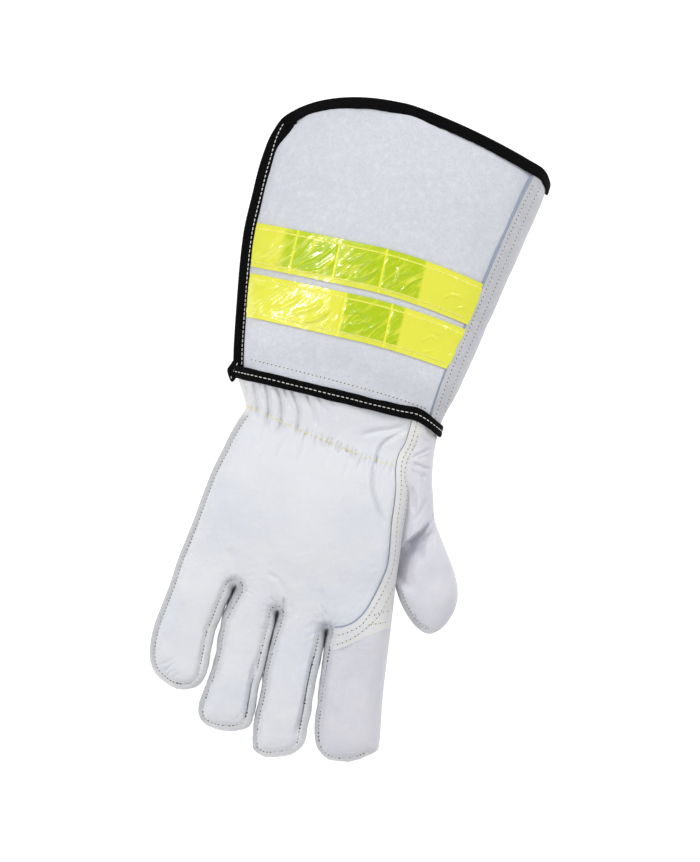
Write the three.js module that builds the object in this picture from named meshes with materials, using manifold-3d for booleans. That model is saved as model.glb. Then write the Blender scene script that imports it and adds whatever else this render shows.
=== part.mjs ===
// A leather lineman's protector glove for the right hand, lying on its palm with the back of the hand up.
// The hand is cut from thin leather panels: a back panel with three fingers, a separate index back, a palm that
// wraps both edges of the hand, a fourchette strip in each finger gap, and a thumb of two panels. A flared gauntlet
// cuff of two split-leather panels is sewn on at the wrist. Black tape binds the cuff's edges and its wrist seam, and two
// high-visibility reflective tapes cross the back of the cuff.
// Millimetres. +X points to the thumb side, +Y from the fingertips to the cuff's mouth, +Z up from the floor.
import * as THREE from "three";
import { mergeVertices } from "three/addons/utils/BufferGeometryUtils.js";
import Module from "manifold-3d";

const wasm = await Module();
wasm.setup();

// Driving dimensions
const leather = 1.5; // wall of the hand's panels
const split = 1.4; // wall of the cuff's panels
const seamGap = 0.32; // clearance between two panels that are sewn together
const seamInset = 4; // how far inside the hand's outline the finger seams run
const edgeRound = 12; // how far in from the outline a panel has rounded over to its full height
const wristEnd = 17; // where the hand's panels end, under the wrist binding
const bindingWidth = 4.9;
const bindingTape = 0.6;
const bindingGap = 0.25;
const finHalf = 1.65; // half the distance between the middles of the two cuff panels in the side seam
const wristBand = { width: 6.2, thickness: 2.1 };
const reflective = { width: 25.4, thickness: 0.6 };

const lerp = THREE.MathUtils.lerp;
const smoothstep = THREE.MathUtils.smoothstep;

// Value of one column of a table at the given y, straight between rows that rise in y.
function column(rows, key, y) {
  if (y <= rows[0].y) return rows[0][key];
  for (let i = 1; i < rows.length; i++) {
    const low = rows[i - 1];
    const high = rows[i];
    if (y <= high.y) return lerp(low[key], high[key], (y - low.y) / (high.y - low.y));
  }
  return rows[rows.length - 1][key];
}

// Height of a quarter round, 0 at the outline and 1 from the given radius inwards.
function rounded(distance, radius) {
  const t = 1 - Math.min(Math.max(distance / radius, 0), 1);
  return Math.sqrt(1 - t * t);
}

// Where the wrist seam runs: nearly straight across, and dropping on the thumb side.
function wristY(x) {
  const drop = Math.max(0, (x - 30) / 20);
  return wristEnd - 0.02 * (x + 10) - 6 * drop * drop;
}

// The hand's outline in plan
// Each finger ends in a half oval: its middle, where its sides end, half width, reach, tilt and squareness.
const fingers = [
  { name: "pinky", x: -68, y: -148, half: 17.6, reach: 18.5, tilt: -0.15, squareLeft: 2.1, squareRight: 2.3 },
  { name: "ring", x: -34.4, y: -171, half: 16, reach: 13.5, tilt: 0, squareLeft: 2.6, squareRight: 2.6 },
  { name: "middle", x: -2.5, y: -178, half: 15.3, reach: 14.6, tilt: 0.12, squareLeft: 2.6, squareRight: 2.7 },
  { name: "index", x: 36, y: -172, half: 18.8, reach: 14.4, tilt: 0.12, squareLeft: 2.3, squareRight: 3.6 },
];
const crotches = [
  { x: -46.7, y: -101.5, radius: 0.8 },
  { x: -18, y: -109, radius: 0.7 },
  { x: 11.9, y: -113.5, radius: 0.8 },
];
const littleFingerEdge = [
  { y: 17, x: -67.5 },
  { y: 10, x: -65.6 },
  { y: 1.5, x: -60.8 },
  { y: -7, x: -63.4 },
  { y: -17, x: -66.9 },
  { y: -40, x: -72.5 },
  { y: -70, x: -77 },
  { y: -100, x: -81.4 },
  { y: -125, x: -84.4 },
];
const thumbEdge = [
  { y: -147, x: 52 },
  { y: -125, x: 49.4 },
  { y: -107, x: 47.4 },
  { y: -90, x: 45.4 },
  { y: -75, x: 44 },
  { y: -55, x: 43 },
  { y: -30, x: 42.5 },
  { y: -12, x: 43.5 },
  { y: 2, x: 46.5 },
  { y: 10, x: 48.6 },
  { y: 17, x: 49.5 },
];
const tipSteps = 10;
const sideSteps = 6;

function tipPoint(finger, angle) {
  const c = Math.cos(angle);
  const s = Math.sin(angle);
  const power = 2 / (c < 0 ? finger.squareLeft : finger.squareRight);
  const dx = finger.half * Math.sign(c) * Math.abs(c) ** power;
  const dy = finger.reach * Math.sign(s) * Math.abs(s) ** power;
  return new THREE.Vector2(finger.x + dx, finger.y + dy + finger.tilt * dx);
}

function straight(from, to, steps) {
  return Array.from({ length: steps - 1 }, (_, i) => from.clone().lerp(to, (i + 1) / steps));
}

// The path runs from the wrist down the little-finger side, round every fingertip and crotch, to the wrist again.
function handPath() {
  const path = littleFingerEdge.map((row) => new THREE.Vector2(row.x, row.y));
  const tips = [];
  fingers.forEach((finger, i) => {
    const first = tipPoint(finger, Math.PI);
    if (i > 0) path.push(...straight(path[path.length - 1], first, sideSteps));
    for (let k = 0; k <= tipSteps; k++) {
      path.push(tipPoint(finger, Math.PI * (1 + k / tipSteps)));
      if (k === tipSteps / 2) tips.push(path.length - 1);
    }
    const crotch = crotches[i];
    if (!crotch) return;
    const entry = new THREE.Vector2(crotch.x - crotch.radius, crotch.y);
    path.push(...straight(path[path.length - 1], entry, sideSteps));
    for (let k = 0; k <= 4; k++) {
      const angle = Math.PI * (1 - k / 4);
      const x = crotch.x + crotch.radius * Math.cos(angle);
      path.push(new THREE.Vector2(x, crotch.y + crotch.radius * Math.sin(angle)));
    }
  });
  path.push(...thumbEdge.map((row) => new THREE.Vector2(row.x, row.y)));
  return { path, tips };
}

// Moves an open path to its left by a distance, with mitred corners; the two ends slide along the wrist.
function inset(path, distance) {
  return path.map((p, i) => {
    if (i === 0 || i === path.length - 1) {
      return new THREE.Vector2(p.x + (i === 0 ? distance : -distance), p.y);
    }
    const a = p.clone().sub(path[i - 1]).normalize();
    const b = path[i + 1].clone().sub(p).normalize();
    const left = new THREE.Vector2(-a.y - b.y, a.x + b.x).normalize();
    const cosHalf = Math.max(0.6, -left.x * a.y + left.y * a.x);
    return p.clone().addScaledVector(left, distance / cosHalf);
  });
}

function distanceTo(path, p) {
  let best = Infinity;
  for (let i = 1; i < path.length; i++) {
    const a = path[i - 1];
    const b = path[i];
    const along = ((p.x - a.x) * (b.x - a.x) + (p.y - a.y) * (b.y - a.y)) / a.distanceToSquared(b);
    const t = Math.min(1, Math.max(0, along));
    best = Math.min(best, Math.hypot(p.x - lerp(a.x, b.x, t), p.y - lerp(a.y, b.y, t)));
  }
  return best;
}

function insidePolygon(polygon, p) {
  let inside = false;
  for (let i = 0, j = polygon.length - 1; i < polygon.length; j = i++) {
    const a = polygon[i];
    const b = polygon[j];
    if (a.y > p.y !== b.y > p.y && p.x < ((b.x - a.x) * (p.y - a.y)) / (b.y - a.y) + a.x) inside = !inside;
  }
  return inside;
}

// Delaunay triangles of 2-D points, by adding one point at a time inside a large triangle.
function delaunay(points) {
  const all = [...points, { x: -9000, y: -9000 }, { x: 9000, y: -9000 }, { x: 0, y: 9000 }];
  const n = points.length;
  const circle = (a, b, c) => {
    const [A, B, C] = [all[a], all[b], all[c]];
    const d = 2 * (A.x * (B.y - C.y) + B.x * (C.y - A.y) + C.x * (A.y - B.y));
    const [a2, b2, c2] = [A, B, C].map((q) => q.x * q.x + q.y * q.y);
    const x = (a2 * (B.y - C.y) + b2 * (C.y - A.y) + c2 * (A.y - B.y)) / d;
    const y = (a2 * (C.x - B.x) + b2 * (A.x - C.x) + c2 * (B.x - A.x)) / d;
    return { a, b, c, x, y, r2: (A.x - x) ** 2 + (A.y - y) ** 2 };
  };
  let triangles = [circle(n, n + 1, n + 2)];
  points.forEach((p, i) => {
    const edges = new Map();
    triangles = triangles.filter((t) => {
      if ((p.x - t.x) ** 2 + (p.y - t.y) ** 2 > t.r2 * (1 + 1e-9)) return true;
      for (const [u, v] of [[t.a, t.b], [t.b, t.c], [t.c, t.a]]) {
        if (!edges.delete(`${v},${u}`)) edges.set(`${u},${v}`, [u, v]);
      }
      return false;
    });
    for (const [u, v] of edges.values()) triangles.push(circle(u, v, i));
  });
  return triangles.filter((t) => t.a < n && t.b < n && t.c < n).map((t) => [t.a, t.b, t.c]);
}

// Closed bodies
function bodyOf(positions, triangles) {
  const geometry = new THREE.BufferGeometry();
  geometry.setAttribute("position", new THREE.Float32BufferAttribute(positions.flatMap((p) => p.toArray()), 3));
  geometry.setIndex(triangles.flat());
  return geometry;
}

function toSolid(geometry) {
  const merged = mergeVertices(geometry, 1e-4);
  return wasm.Manifold.ofMesh(
    new wasm.Mesh({
      numProp: 3,
      vertProperties: merged.attributes.position.array,
      triVerts: new Uint32Array(merged.index.array),
    }),
  );
}

function toBody(solid) {
  const mesh = solid.getMesh();
  const geometry = new THREE.BufferGeometry();
  geometry.setAttribute("position", new THREE.Float32BufferAttribute(mesh.vertProperties, 3));
  geometry.setIndex(new THREE.BufferAttribute(mesh.triVerts, 1));
  return geometry;
}

// The directed edges of some faces that no other of them shares.
function borderOf(faces) {
  const edges = new Map();
  for (const [a, b, c] of faces) {
    for (const [u, v] of [[a, b], [b, c], [c, a]]) {
      if (!edges.delete(`${v},${u}`)) edges.set(`${u},${v}`, [u, v]);
    }
  }
  return [...edges.values()];
}

// A leather panel: some faces of an outer surface, the same faces of an inner one, and walls along the cut edge.
// Its cut edge is drawn back by half the seam gap, so that two neighbouring panels keep clear of each other.
function panel(faces, outer, inner) {
  const border = borderOf(faces);
  const onBorder = new Map(border.flat().map((v) => [v, new THREE.Vector3()]));
  const pull = (surface) => {
    for (const towards of onBorder.values()) towards.set(0, 0, 0);
    for (const face of faces) {
      const centre = new THREE.Vector3();
      face.forEach((v) => centre.addScaledVector(surface[v], 1 / 3));
      face.forEach((v) => onBorder.get(v)?.add(centre).sub(surface[v]));
    }
    const into = new Map();
    const away = new Map();
    for (const [a, b] of border) {
      const edge = surface[b].clone().sub(surface[a]).normalize();
      away.set(a, edge);
      into.set(b, edge);
    }
    return surface.map((p, v) => {
      const towards = onBorder.get(v);
      if (!towards) return p.clone();
      const line = into.get(v).clone().add(away.get(v)).normalize();
      const mitre = Math.max(0.5, line.dot(into.get(v)));
      const move = towards.clone().addScaledVector(line, -towards.dot(line)).normalize();
      return p.clone().addScaledVector(move, seamGap / 2 / mitre);
    });
  };
  const n = outer.length;
  const positions = [...pull(outer), ...pull(inner)];
  const triangles = faces.flatMap(([a, b, c]) => [[a, b, c], [c + n, b + n, a + n]]);
  for (const [a, b] of border) triangles.push([b, a, a + n], [b, a + n, b + n]);
  const used = new Map();
  const kept = [];
  const packed = triangles.map((t) =>
    t.map((v) => {
      if (!used.has(v)) used.set(v, kept.push(positions[v]) - 1);
      return used.get(v);
    }),
  );
  return bodyOf(kept, packed);
}

// A pillow is an outline in plan with a top and a bottom that round over at its edge: the form of a leather hand
// lying flat. Rings follow the outline, and the field inside the last ring, the seam ring, is triangulated.
const ringAngles = [0, 0.44, Math.acos(1 - seamInset / edgeRound)];

function pillow(shape) {
  const { path, spacing, lines, top, middle, bottom, endY } = shape;
  const ringPath = (angle, grow) => inset(path, -grow + (edgeRound + grow) * (1 - Math.cos(angle)));
  const n = path.length;
  const seam = ringPath(ringAngles[2], 0);
  const endSteps = Math.max(2, Math.round((seam[n - 1].x - seam[0].x) / (spacing * 1.2)));
  const endLine = straight(seam[n - 1], seam[0], endSteps);
  const polygon = [...seam, ...endLine];
  const field = [...polygon, ...lines.flat()];
  const low = new THREE.Vector2(Infinity, Infinity);
  const high = new THREE.Vector2(-Infinity, -Infinity);
  polygon.forEach((p) => {
    low.min(p);
    high.max(p);
  });
  const rowStep = spacing * Math.sqrt(0.75);
  for (let row = 0, y = low.y + rowStep; y < high.y; y += rowStep, row++) {
    for (let x = low.x + (row % 2) * (spacing / 2); x < high.x; x += spacing) {
      const p = new THREE.Vector2(x, y);
      const clear = insidePolygon(polygon, p) && distanceTo([...polygon, polygon[0]], p) > spacing * 0.42;
      if (clear && lines.every((line) => distanceTo(line, p) > spacing * 0.42)) field.push(p);
    }
  }
  const flat = delaunay(field).filter(([a, b, c]) => {
    const centre = new THREE.Vector2(
      (field[a].x + field[b].x + field[c].x) / 3,
      (field[a].y + field[b].y + field[c].y) / 3,
    );
    return insidePolygon(polygon, centre);
  });

  // Vertex order: the outline, then for the top and the bottom the first ring and the field.
  const m = n + field.length;
  const ring1 = (side, i) => n + side * m + i;
  const inField = (side, i) => n + side * m + n + i;
  const faces = [];
  const quad = (a, b, c, d, tag) => faces.push({ face: [a, b, c], ...tag }, { face: [a, c, d], ...tag });
  for (let i = 0; i + 1 < n; i++) {
    const tag = { step: i, zone: "rim" };
    quad(i, i + 1, ring1(0, i + 1), ring1(0, i), { ...tag, side: "top" });
    quad(ring1(0, i), ring1(0, i + 1), inField(0, i + 1), inField(0, i), { ...tag, side: "top" });
    quad(i + 1, i, ring1(1, i), ring1(1, i + 1), { ...tag, side: "bottom" });
    quad(ring1(1, i + 1), ring1(1, i), inField(1, i), inField(1, i + 1), { ...tag, side: "bottom" });
  }
  for (const [a, b, c] of flat) {
    const x = (field[a].x + field[b].x + field[c].x) / 3;
    const y = (field[a].y + field[b].y + field[c].y) / 3;
    const up = [inField(0, a), inField(0, b), inField(0, c)];
    const down = [inField(1, c), inField(1, b), inField(1, a)];
    faces.push({ face: up, zone: "field", side: "top", x, y });
    faces.push({ face: down, zone: "field", side: "bottom", x, y });
  }

  const surface = (grow) => {
    const place = (p, share, sign) => {
      const mid = middle(p.x, p.y);
      const level = sign > 0 ? top(p.x, p.y) + grow : bottom(p.x, p.y) - grow;
      return new THREE.Vector3(p.x, p.y, mid + (level - mid) * share);
    };
    const outline = ringPath(0, grow);
    const placed = outline.map((p) => place(p, 0, 1));
    for (const sign of [1, -1]) {
      placed.push(...ringPath(ringAngles[1], grow).map((p) => place(p, Math.sin(ringAngles[1]), sign)));
      const seamRing = ringPath(ringAngles[2], grow);
      const sine = Math.sin(ringAngles[2]);
      field.forEach((p, i) => {
        if (i < n) placed.push(place(seamRing[i], sine, sign));
        else if (i < polygon.length) {
          const end = new THREE.Vector2(lerp(seamRing[n - 1].x, seamRing[0].x, (i - n + 1) / endSteps), endY);
          placed.push(place(end, rounded(distanceTo(outline, end), edgeRound + grow), sign));
        } else placed.push(place(p, rounded(distanceTo(outline, p), edgeRound + grow), sign));
      });
    }
    return placed.map((p) => shape.warp(p));
  };

  // The whole pillow as one filled solid, with its open end capped.
  const filled = (grow) => {
    const placed = surface(grow);
    const triangles = faces.map((f) => f.face);
    const border = borderOf(triangles);
    const centre = new THREE.Vector3();
    border.forEach(([a]) => centre.addScaledVector(placed[a], 1 / border.length));
    placed.push(centre);
    border.forEach(([a, b]) => triangles.push([b, a, placed.length - 1]));
    return toSolid(bodyOf(placed, triangles));
  };
  return { faces, surface, filled };
}

// Heights of the hand, by y: the crest of the back, the level of its widest line, and the palm's lift at the wrist.
const handHeights = [
  { y: -195, crest: 20, middle: 11.5, lift: 0 },
  { y: -160, crest: 24, middle: 12, lift: 0 },
  { y: -120, crest: 27.5, middle: 13, lift: 0 },
  { y: -95, crest: 32, middle: 14, lift: 0 },
  { y: -60, crest: 38, middle: 15, lift: 0 },
  { y: -25, crest: 37, middle: 16, lift: 0 },
  { y: -4, crest: 32.5, middle: 16.5, lift: 1.5 },
  { y: 8, crest: 34.5, middle: 17, lift: 3.2 },
  { y: 17, crest: 36, middle: 17, lift: 3.2 },
];
const crown = { x: -14, half: 56, drop: 5 }; // how much lower the back is towards its edges than at its crest

function handTop(x, y) {
  const palmShare = smoothstep(y, -118, -85);
  return column(handHeights, "crest", y) - crown.drop * palmShare * ((x - crown.x) / crown.half) ** 2;
}

// Where the palm leather laps over the back panel on the thumb side, down to the crotch beside the index finger.
const lapLine = [
  { y: 17, x: 33.5 },
  { y: 4, x: 32.5 },
  { y: -12, x: 30.2 },
  { y: -28, x: 33.2 },
  { y: -48, x: 35.2 },
  { y: -66, x: 38 },
  { y: -80, x: 36.6 },
  { y: -92, x: 32.8 },
  { y: -103, x: 27 },
];
const lapFoot = new THREE.Vector2(17, -110.5);
const indexSeam = new THREE.Vector2(35, -104.6); // a point of the seam across the base of the index finger
const indexSeamSlope = -0.2;

const { path: outline, tips: fingerTips } = handPath();
const lapCorners = [...lapLine.map((row) => new THREE.Vector2(row.x, row.y)), lapFoot];
const lapPath = lapCorners.slice(1).flatMap((p, i) => [...straight(lapCorners[i], p, 2), p]);
const wristwards = (p) => {
  const share = smoothstep(p.y, -12, wristEnd);
  return new THREE.Vector3(p.x, p.y + (wristY(p.x) - wristEnd) * share, p.z);
};
const hand = pillow({
  path: outline,
  spacing: 10.5,
  lines: [lapPath, [indexSeam]],
  top: handTop,
  middle: (x, y) => column(handHeights, "middle", y),
  bottom: (x, y) => column(handHeights, "lift", y),
  endY: wristEnd,
  warp: wristwards,
});

// The thumb, a smaller pillow that starts inside the hand and lies beside it on the floor. Its back panel wraps
// its outer edge, and its front panel wraps the edge next to the hand.
const thumbTip = 11; // the row of its outline where the two panels change over
const thumbOutline = [
  { x: 36, y: 6 },
  { x: 30, y: -12 },
  { x: 30, y: -30 },
  { x: 33, y: -46 },
  { x: 40, y: -59 },
  { x: 45, y: -67 },
  { x: 45.4, y: -76 },
  { x: 47, y: -85.5 },
  { x: 51, y: -92 },
  { x: 58, y: -99.5 },
  { x: 64, y: -103.6 },
  { x: 70, y: -104.6 },
  { x: 75, y: -101 },
  { x: 79, y: -93 },
  { x: 81, y: -85 },
  { x: 80, y: -77 },
  { x: 75, y: -66 },
  { x: 66.5, y: -53.5 },
  { x: 58.6, y: -40 },
  { x: 54.8, y: -28 },
  { x: 52, y: -14 },
  { x: 50, y: 0 },
  { x: 48, y: 6 },
].map((row) => new THREE.Vector2(row.x, row.y));
const thumbHeights = [
  { y: -105, crest: 20 },
  { y: -80, crest: 24 },
  { y: -50, crest: 26.5 },
  { y: -20, crest: 29 },
  { y: 6, crest: 29 },
];
const thumb = pillow({
  path: thumbOutline,
  spacing: 9.5,
  lines: [],
  top: (x, y) => column(thumbHeights, "crest", y),
  middle: (x, y) => lerp(12, 15, smoothstep(y, -90, 0)),
  bottom: (x, y) => 2.2 * smoothstep(y, -25, 0),
  endY: 6,
  warp: (p) => p,
});

// Which of the hand's panels each face belongs to
const lapsUpwards = [lapFoot, ...lapLine.toReversed()];

function pieceOf(f) {
  if (f.zone === "field") {
    if (f.side === "bottom") return "palm";
    const lapX = f.y < lapFoot.y ? crotches[2].x : column(lapsUpwards, "x", f.y);
    if (f.x < lapX) return "hand_back";
    return f.y < indexSeam.y + indexSeamSlope * (f.x - indexSeam.x) ? "index_back" : "palm";
  }
  const [pinky, ring, middle, index] = fingerTips;
  if (f.step < pinky) return "palm";
  if (f.step < ring) return "fourchette_pinky_ring";
  if (f.step < middle) return "fourchette_ring_middle";
  if (f.step < index) return "fourchette_middle_index";
  return outline[f.step].y < indexSeam.y - 3 ? "index_back" : "palm";
}

// The cuff
// Its left edge and right fold by y, as the panels run inside the binding.
const cuffEdges = [
  { y: 5, left: -71.6, right: 48.8 },
  { y: 17, left: -71.8, right: 50.8 },
  { y: 30, left: -73.9, right: 54.2 },
  { y: 60, left: -78.8, right: 61 },
  { y: 80, left: -81.6, right: 64.8 },
  { y: 100, left: -83.4, right: 69 },
  { y: 142, left: -82.6, right: 77.4 },
  { y: 156, left: -80.4, right: 80.2 },
  { y: 162, left: -78.4, right: 80.8 },
  { y: 190, left: -74, right: 82 },
];
const cuffSections = [
  { y: 0, crest: 36, seam: 17, lift: 3.2 },
  { y: 0.15, crest: 39, seam: 16, lift: 1.2 },
  { y: 0.35, crest: 43.5, seam: 14, lift: 0.2 },
  { y: 0.7, crest: 49, seam: 12.5, lift: 0.2 },
  { y: 1, crest: 52, seam: 12, lift: 1.2 },
];
const cuffWidth = 160; // width that the shares across the mouth are counted on
const finWidth = 5; // margin of each cuff panel that lies in the side seam
const lapShare = 0.908; // how far across its width the cuff's front seam lies
const mouth = { sideY: 162, topY: 186.4, cornerShare: 0.36, slopeShare: 0.42, slope: 19, foldDrop: 5 };

// The mouth's edge: a rounded corner over the side seam, a high middle and a long fall to the fold.
function mouthY(share) {
  if (share < mouth.cornerShare) {
    const t = 1 - share / mouth.cornerShare;
    return mouth.sideY + (mouth.topY - mouth.sideY) * Math.sqrt(1 - t * t);
  }
  const t = Math.max(0, (share - mouth.slopeShare) / (1 - mouth.slopeShare));
  const fold = Math.max(0, (share - 0.95) / 0.05);
  return mouth.topY - mouth.slope * t ** 1.3 - mouth.foldDrop * fold * fold;
}

// A point of the cuff's outer surface. Across runs from -1 at the side seam's edge, 0 where its margin ends,
// to 1 at the fold; up runs from 0 at the wrist to 1 at the mouth. Side is 1 on the back and -1 on the palm.
function cuffPoint(side, across, up) {
  const turn = Math.PI * Math.max(0, across);
  const share = (1 - Math.cos(turn)) / 2;
  const margin = finWidth * Math.min(0, across);
  const foot = wristY(lerp(-67, 49.4, share)) + seamGap * 1.5;
  const reach = mouthY((margin + finWidth + share * (cuffWidth - finWidth)) / cuffWidth);
  const y = lerp(foot, reach, up);
  const left = column(cuffEdges, "left", y) + finWidth;
  const right = column(cuffEdges, "right", y);
  const x = lerp(left, right, share) + margin;
  const edge = Math.min(x - left, right - x);
  const round = rounded(edge, edgeRound);
  const rise = 1 - (1 - Math.min(share / 0.5, 1)) ** 2;
  const fall = rounded(1 - share, side > 0 ? 0.4 : 0.16);
  const flat = 1 - (1 - Math.min(share / 0.3, 1)) ** 2;
  const lens = side > 0 ? rise * fall : flat * fall;
  const body = share === 0 ? 0 : lerp(round, lens, smoothstep(up, 0, 0.4));
  const seam = column(cuffSections, "seam", up);
  const crest = up === 0 ? handTop(x, wristEnd) : column(cuffSections, "crest", up);
  const level = side > 0 ? crest : column(cuffSections, "lift", up);
  const start = seam + side * (finHalf + split / 2) * (share > 0.5 ? 1 - smoothstep(share, 0.6, 1) : 1);
  return new THREE.Vector3(x, y, start + (level - start) * body);
}

// Stations across the cuff: the back runs from its edge to the front seam, the palm from there round the fold.
const turnAt = (share) => Math.acos(1 - 2 * share) / Math.PI;
const seamTurn = turnAt(lapShare);
const acrossBack = [-1, -0.5, 0, 0.06, 0.11, 0.16, 0.21, 0.27, 0.34, 0.42, 0.5, 0.58, 0.66, 0.74, seamTurn];
const acrossFold = [seamTurn, 0.86, 0.91, 0.955, 1];
const acrossPalm = [0.955, 0.91, 0.84, 0.75, 0.65, 0.55, 0.45, 0.35, 0.27, 0.21, 0.16, 0.11, 0.06, 0, -0.5, -1];

// The reflective tapes, straight across most of the cuff and falling towards the front seam.
const tapes = [
  { name: "lower_tape", y: 63.4, fall: 6 },
  { name: "upper_tape", y: 92.6, fall: 7 },
];

function upAt(side, across, y) {
  let low = 0;
  let high = 1;
  for (let i = 0; i < 30; i++) {
    const middle = (low + high) / 2;
    if (cuffPoint(side, across, middle).y < y) low = middle;
    else high = middle;
  }
  return low;
}

// How far up the cuff its rows of points lie at a station: the foot, both edges and the middle of each tape, and
// the mouth, so that a tape lies on whole faces of the panel.
function cuffRows(side, across) {
  const x = cuffPoint(side, across, 0.45).x;
  const slack = (Math.max(0, x + 5) / 60) ** 1.6;
  const half = reflective.width / 2;
  const levels = tapes.flatMap((tape) => [-half, 0, half].map((d) => tape.y - tape.fall * slack + d));
  const ups = levels.map((y) => upAt(side, across, y));
  const last = ups[ups.length - 1];
  const above = [0.3, 0.6, 0.89, 1].map((share) => lerp(last, 1, share));
  return [0, 0.028, ups[0] * 0.55, ...ups, ...above];
}
const tapeRow = 3; // the row of the lower tape's lower edge; each tape takes three rows

// A grid of points with their outward normals, over rows of stations.
function gridOf(rows) {
  const last = rows[0].length - 1;
  const at = (i, j) => rows[Math.min(Math.max(i, 0), rows.length - 1)][Math.min(Math.max(j, 0), last)];
  const normals = rows.map((row, i) =>
    row.map((_, j) => {
      const acrossWay = at(i + 1, j).clone().sub(at(i - 1, j));
      const upWay = at(i, j + 1).clone().sub(at(i, j - 1));
      return acrossWay.cross(upWay).normalize();
    }),
  );
  return { rows, normals };
}

// A sheet over part of a grid, lifted off it, with its inner face one wall inside its outer one.
function sheet(grid, first, last, wall, lift) {
  const offset = (by) =>
    grid.rows
      .slice(first[0], last[0] + 1)
      .flatMap((row, i) =>
        row
          .slice(first[1], last[1] + 1)
          .map((p, j) => p.clone().addScaledVector(grid.normals[i + first[0]][j + first[1]], by)),
      );
  const long = last[1] - first[1] + 1;
  const faces = [];
  for (let i = 0; i < last[0] - first[0]; i++) {
    for (let j = 0; j + 1 < long; j++) {
      const a = i * long + j;
      faces.push([a, a + long, a + long + 1], [a, a + long + 1, a + 1]);
    }
  }
  return panel(faces, offset(lift), offset(lift - wall));
}

const station = (side) => (across) => cuffRows(side, across).map((up) => cuffPoint(side, across, up));
const seamStation = acrossBack.length - 1;
const cuff = gridOf([
  ...[...acrossBack, ...acrossFold.slice(1)].map(station(1)),
  ...acrossPalm.map(station(-1)),
]);
const mouthRow = cuff.rows[0].length - 1;
const lastStation = cuff.rows.length - 1;

// Sweeps a closed profile, anticlockwise in its own plane, through frames that each have a point and two axes.
function sweep(frames, profile, closed) {
  const k = profile.length;
  const positions = frames.flatMap(({ point, first, second }) =>
    profile.map(([a, b]) => point.clone().addScaledVector(first, a).addScaledVector(second, b)),
  );
  const triangles = [];
  const steps = closed ? frames.length : frames.length - 1;
  for (let i = 0; i < steps; i++) {
    const next = ((i + 1) % frames.length) * k;
    for (let j = 0; j < k; j++) {
      const j1 = (j + 1) % k;
      triangles.push([i * k + j, i * k + j1, next + j1], [i * k + j, next + j1, next + j]);
    }
  }
  if (!closed) {
    const last = (frames.length - 1) * k;
    for (const [a, b, c] of THREE.ShapeUtils.triangulateShape(profile.map((p) => new THREE.Vector2(...p)), [])) {
      triangles.push([c, b, a], [last + a, last + b, last + c]);
    }
  }
  const travel = frames[1].point.clone().sub(frames[0].point);
  const forwards = new THREE.Vector3().crossVectors(frames[0].first, frames[0].second).dot(travel) > 0;
  return bodyOf(positions, forwards ? triangles : triangles.map((t) => t.toReversed()));
}

// The section of a folded tape over a panel's edge: its first axis runs into the panel, its second out of it.
function channelProfile(wall) {
  const gap = wall / 2 + bindingGap;
  const out = gap + bindingTape;
  const nose = -bindingGap - bindingTape;
  return [
    [bindingWidth, gap],
    [bindingWidth, out],
    [0.3, out],
    [nose, out - 0.9],
    [nose, 0.9 - out],
    [0.3, -out],
    [bindingWidth, -out],
    [bindingWidth, -gap],
    [-bindingGap, -gap],
    [-bindingGap, gap],
  ];
}

// The binding of the mouth, over the back panel's edge, round the fold and over the palm panel's edge.
function rimFrames() {
  const edge = cuff.rows.map((row) => row[mouthRow]);
  return cuff.rows.map((row, i) => {
    const tangent = edge[Math.min(i + 1, lastStation)].clone().sub(edge[Math.max(i - 1, 0)]).normalize();
    const inward = row[mouthRow - 1].clone().sub(edge[i]).normalize();
    const slant = Math.max(0.55, Math.sqrt(1 - inward.dot(tangent) ** 2));
    const second = cuff.normals[i][mouthRow];
    const point = edge[i].clone().addScaledVector(second, -split / 2);
    return { point, first: inward.multiplyScalar(1 / slant), second };
  });
}

// The binding of the side seam, over both panels' margins at once.
const sideBindingTop = 152.6;

function sideFrames() {
  const middles = cuff.rows[0].map((p, j) => p.clone().lerp(cuff.rows[lastStation][j], 0.5));
  middles.splice(0, 2, middles[1].clone().lerp(middles[2], 0.25));
  middles.pop();
  const end = middles[middles.length - 1];
  end.lerp(middles[middles.length - 2], (end.y - sideBindingTop) / (end.y - middles[middles.length - 2].y));
  return middles.map((point, i) => {
    const tangent = middles[Math.min(i + 1, middles.length - 1)]
      .clone()
      .sub(middles[Math.max(i - 1, 0)])
      .normalize();
    const second = new THREE.Vector3(0, 0, 1);
    second.addScaledVector(tangent, -second.dot(tangent)).normalize();
    return { point, first: new THREE.Vector3().crossVectors(tangent, second), second };
  });
}

// The wrist binding is a taut band round everything at the wrist seam, so it follows the convex hull of the section.
function hullOf(points) {
  const sorted = points.toSorted((p, q) => p.x - q.x || p.z - q.z);
  const half = (list) => {
    const chain = [];
    for (const p of list) {
      while (chain.length > 1) {
        const [a, b] = chain.slice(-2);
        if ((b.x - a.x) * (p.z - a.z) - (b.z - a.z) * (p.x - a.x) > 1e-6) break;
        chain.pop();
      }
      chain.push(p);
    }
    return chain.slice(0, -1);
  };
  return [...half(sorted), ...half(sorted.toReversed())];
}

function wristFrames() {
  const hull = hullOf(cuff.rows.flatMap((row) => row.slice(0, 2)));
  const n = hull.length;
  return hull.map((p, i) => {
    const a = new THREE.Vector2(p.x - hull[(i + n - 1) % n].x, p.z - hull[(i + n - 1) % n].z).normalize();
    const b = new THREE.Vector2(hull[(i + 1) % n].x - p.x, hull[(i + 1) % n].z - p.z).normalize();
    const out = new THREE.Vector2(a.y + b.y, -a.x - b.x).normalize();
    const stretch = 1 / Math.max(0.5, out.x * a.y - out.y * a.x);
    const second = new THREE.Vector3(out.x * stretch, 0, out.y * stretch);
    return { point: new THREE.Vector3(p.x, wristY(p.x) + 0.2, p.z), first: new THREE.Vector3(0, -1, 0), second };
  });
}

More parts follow.
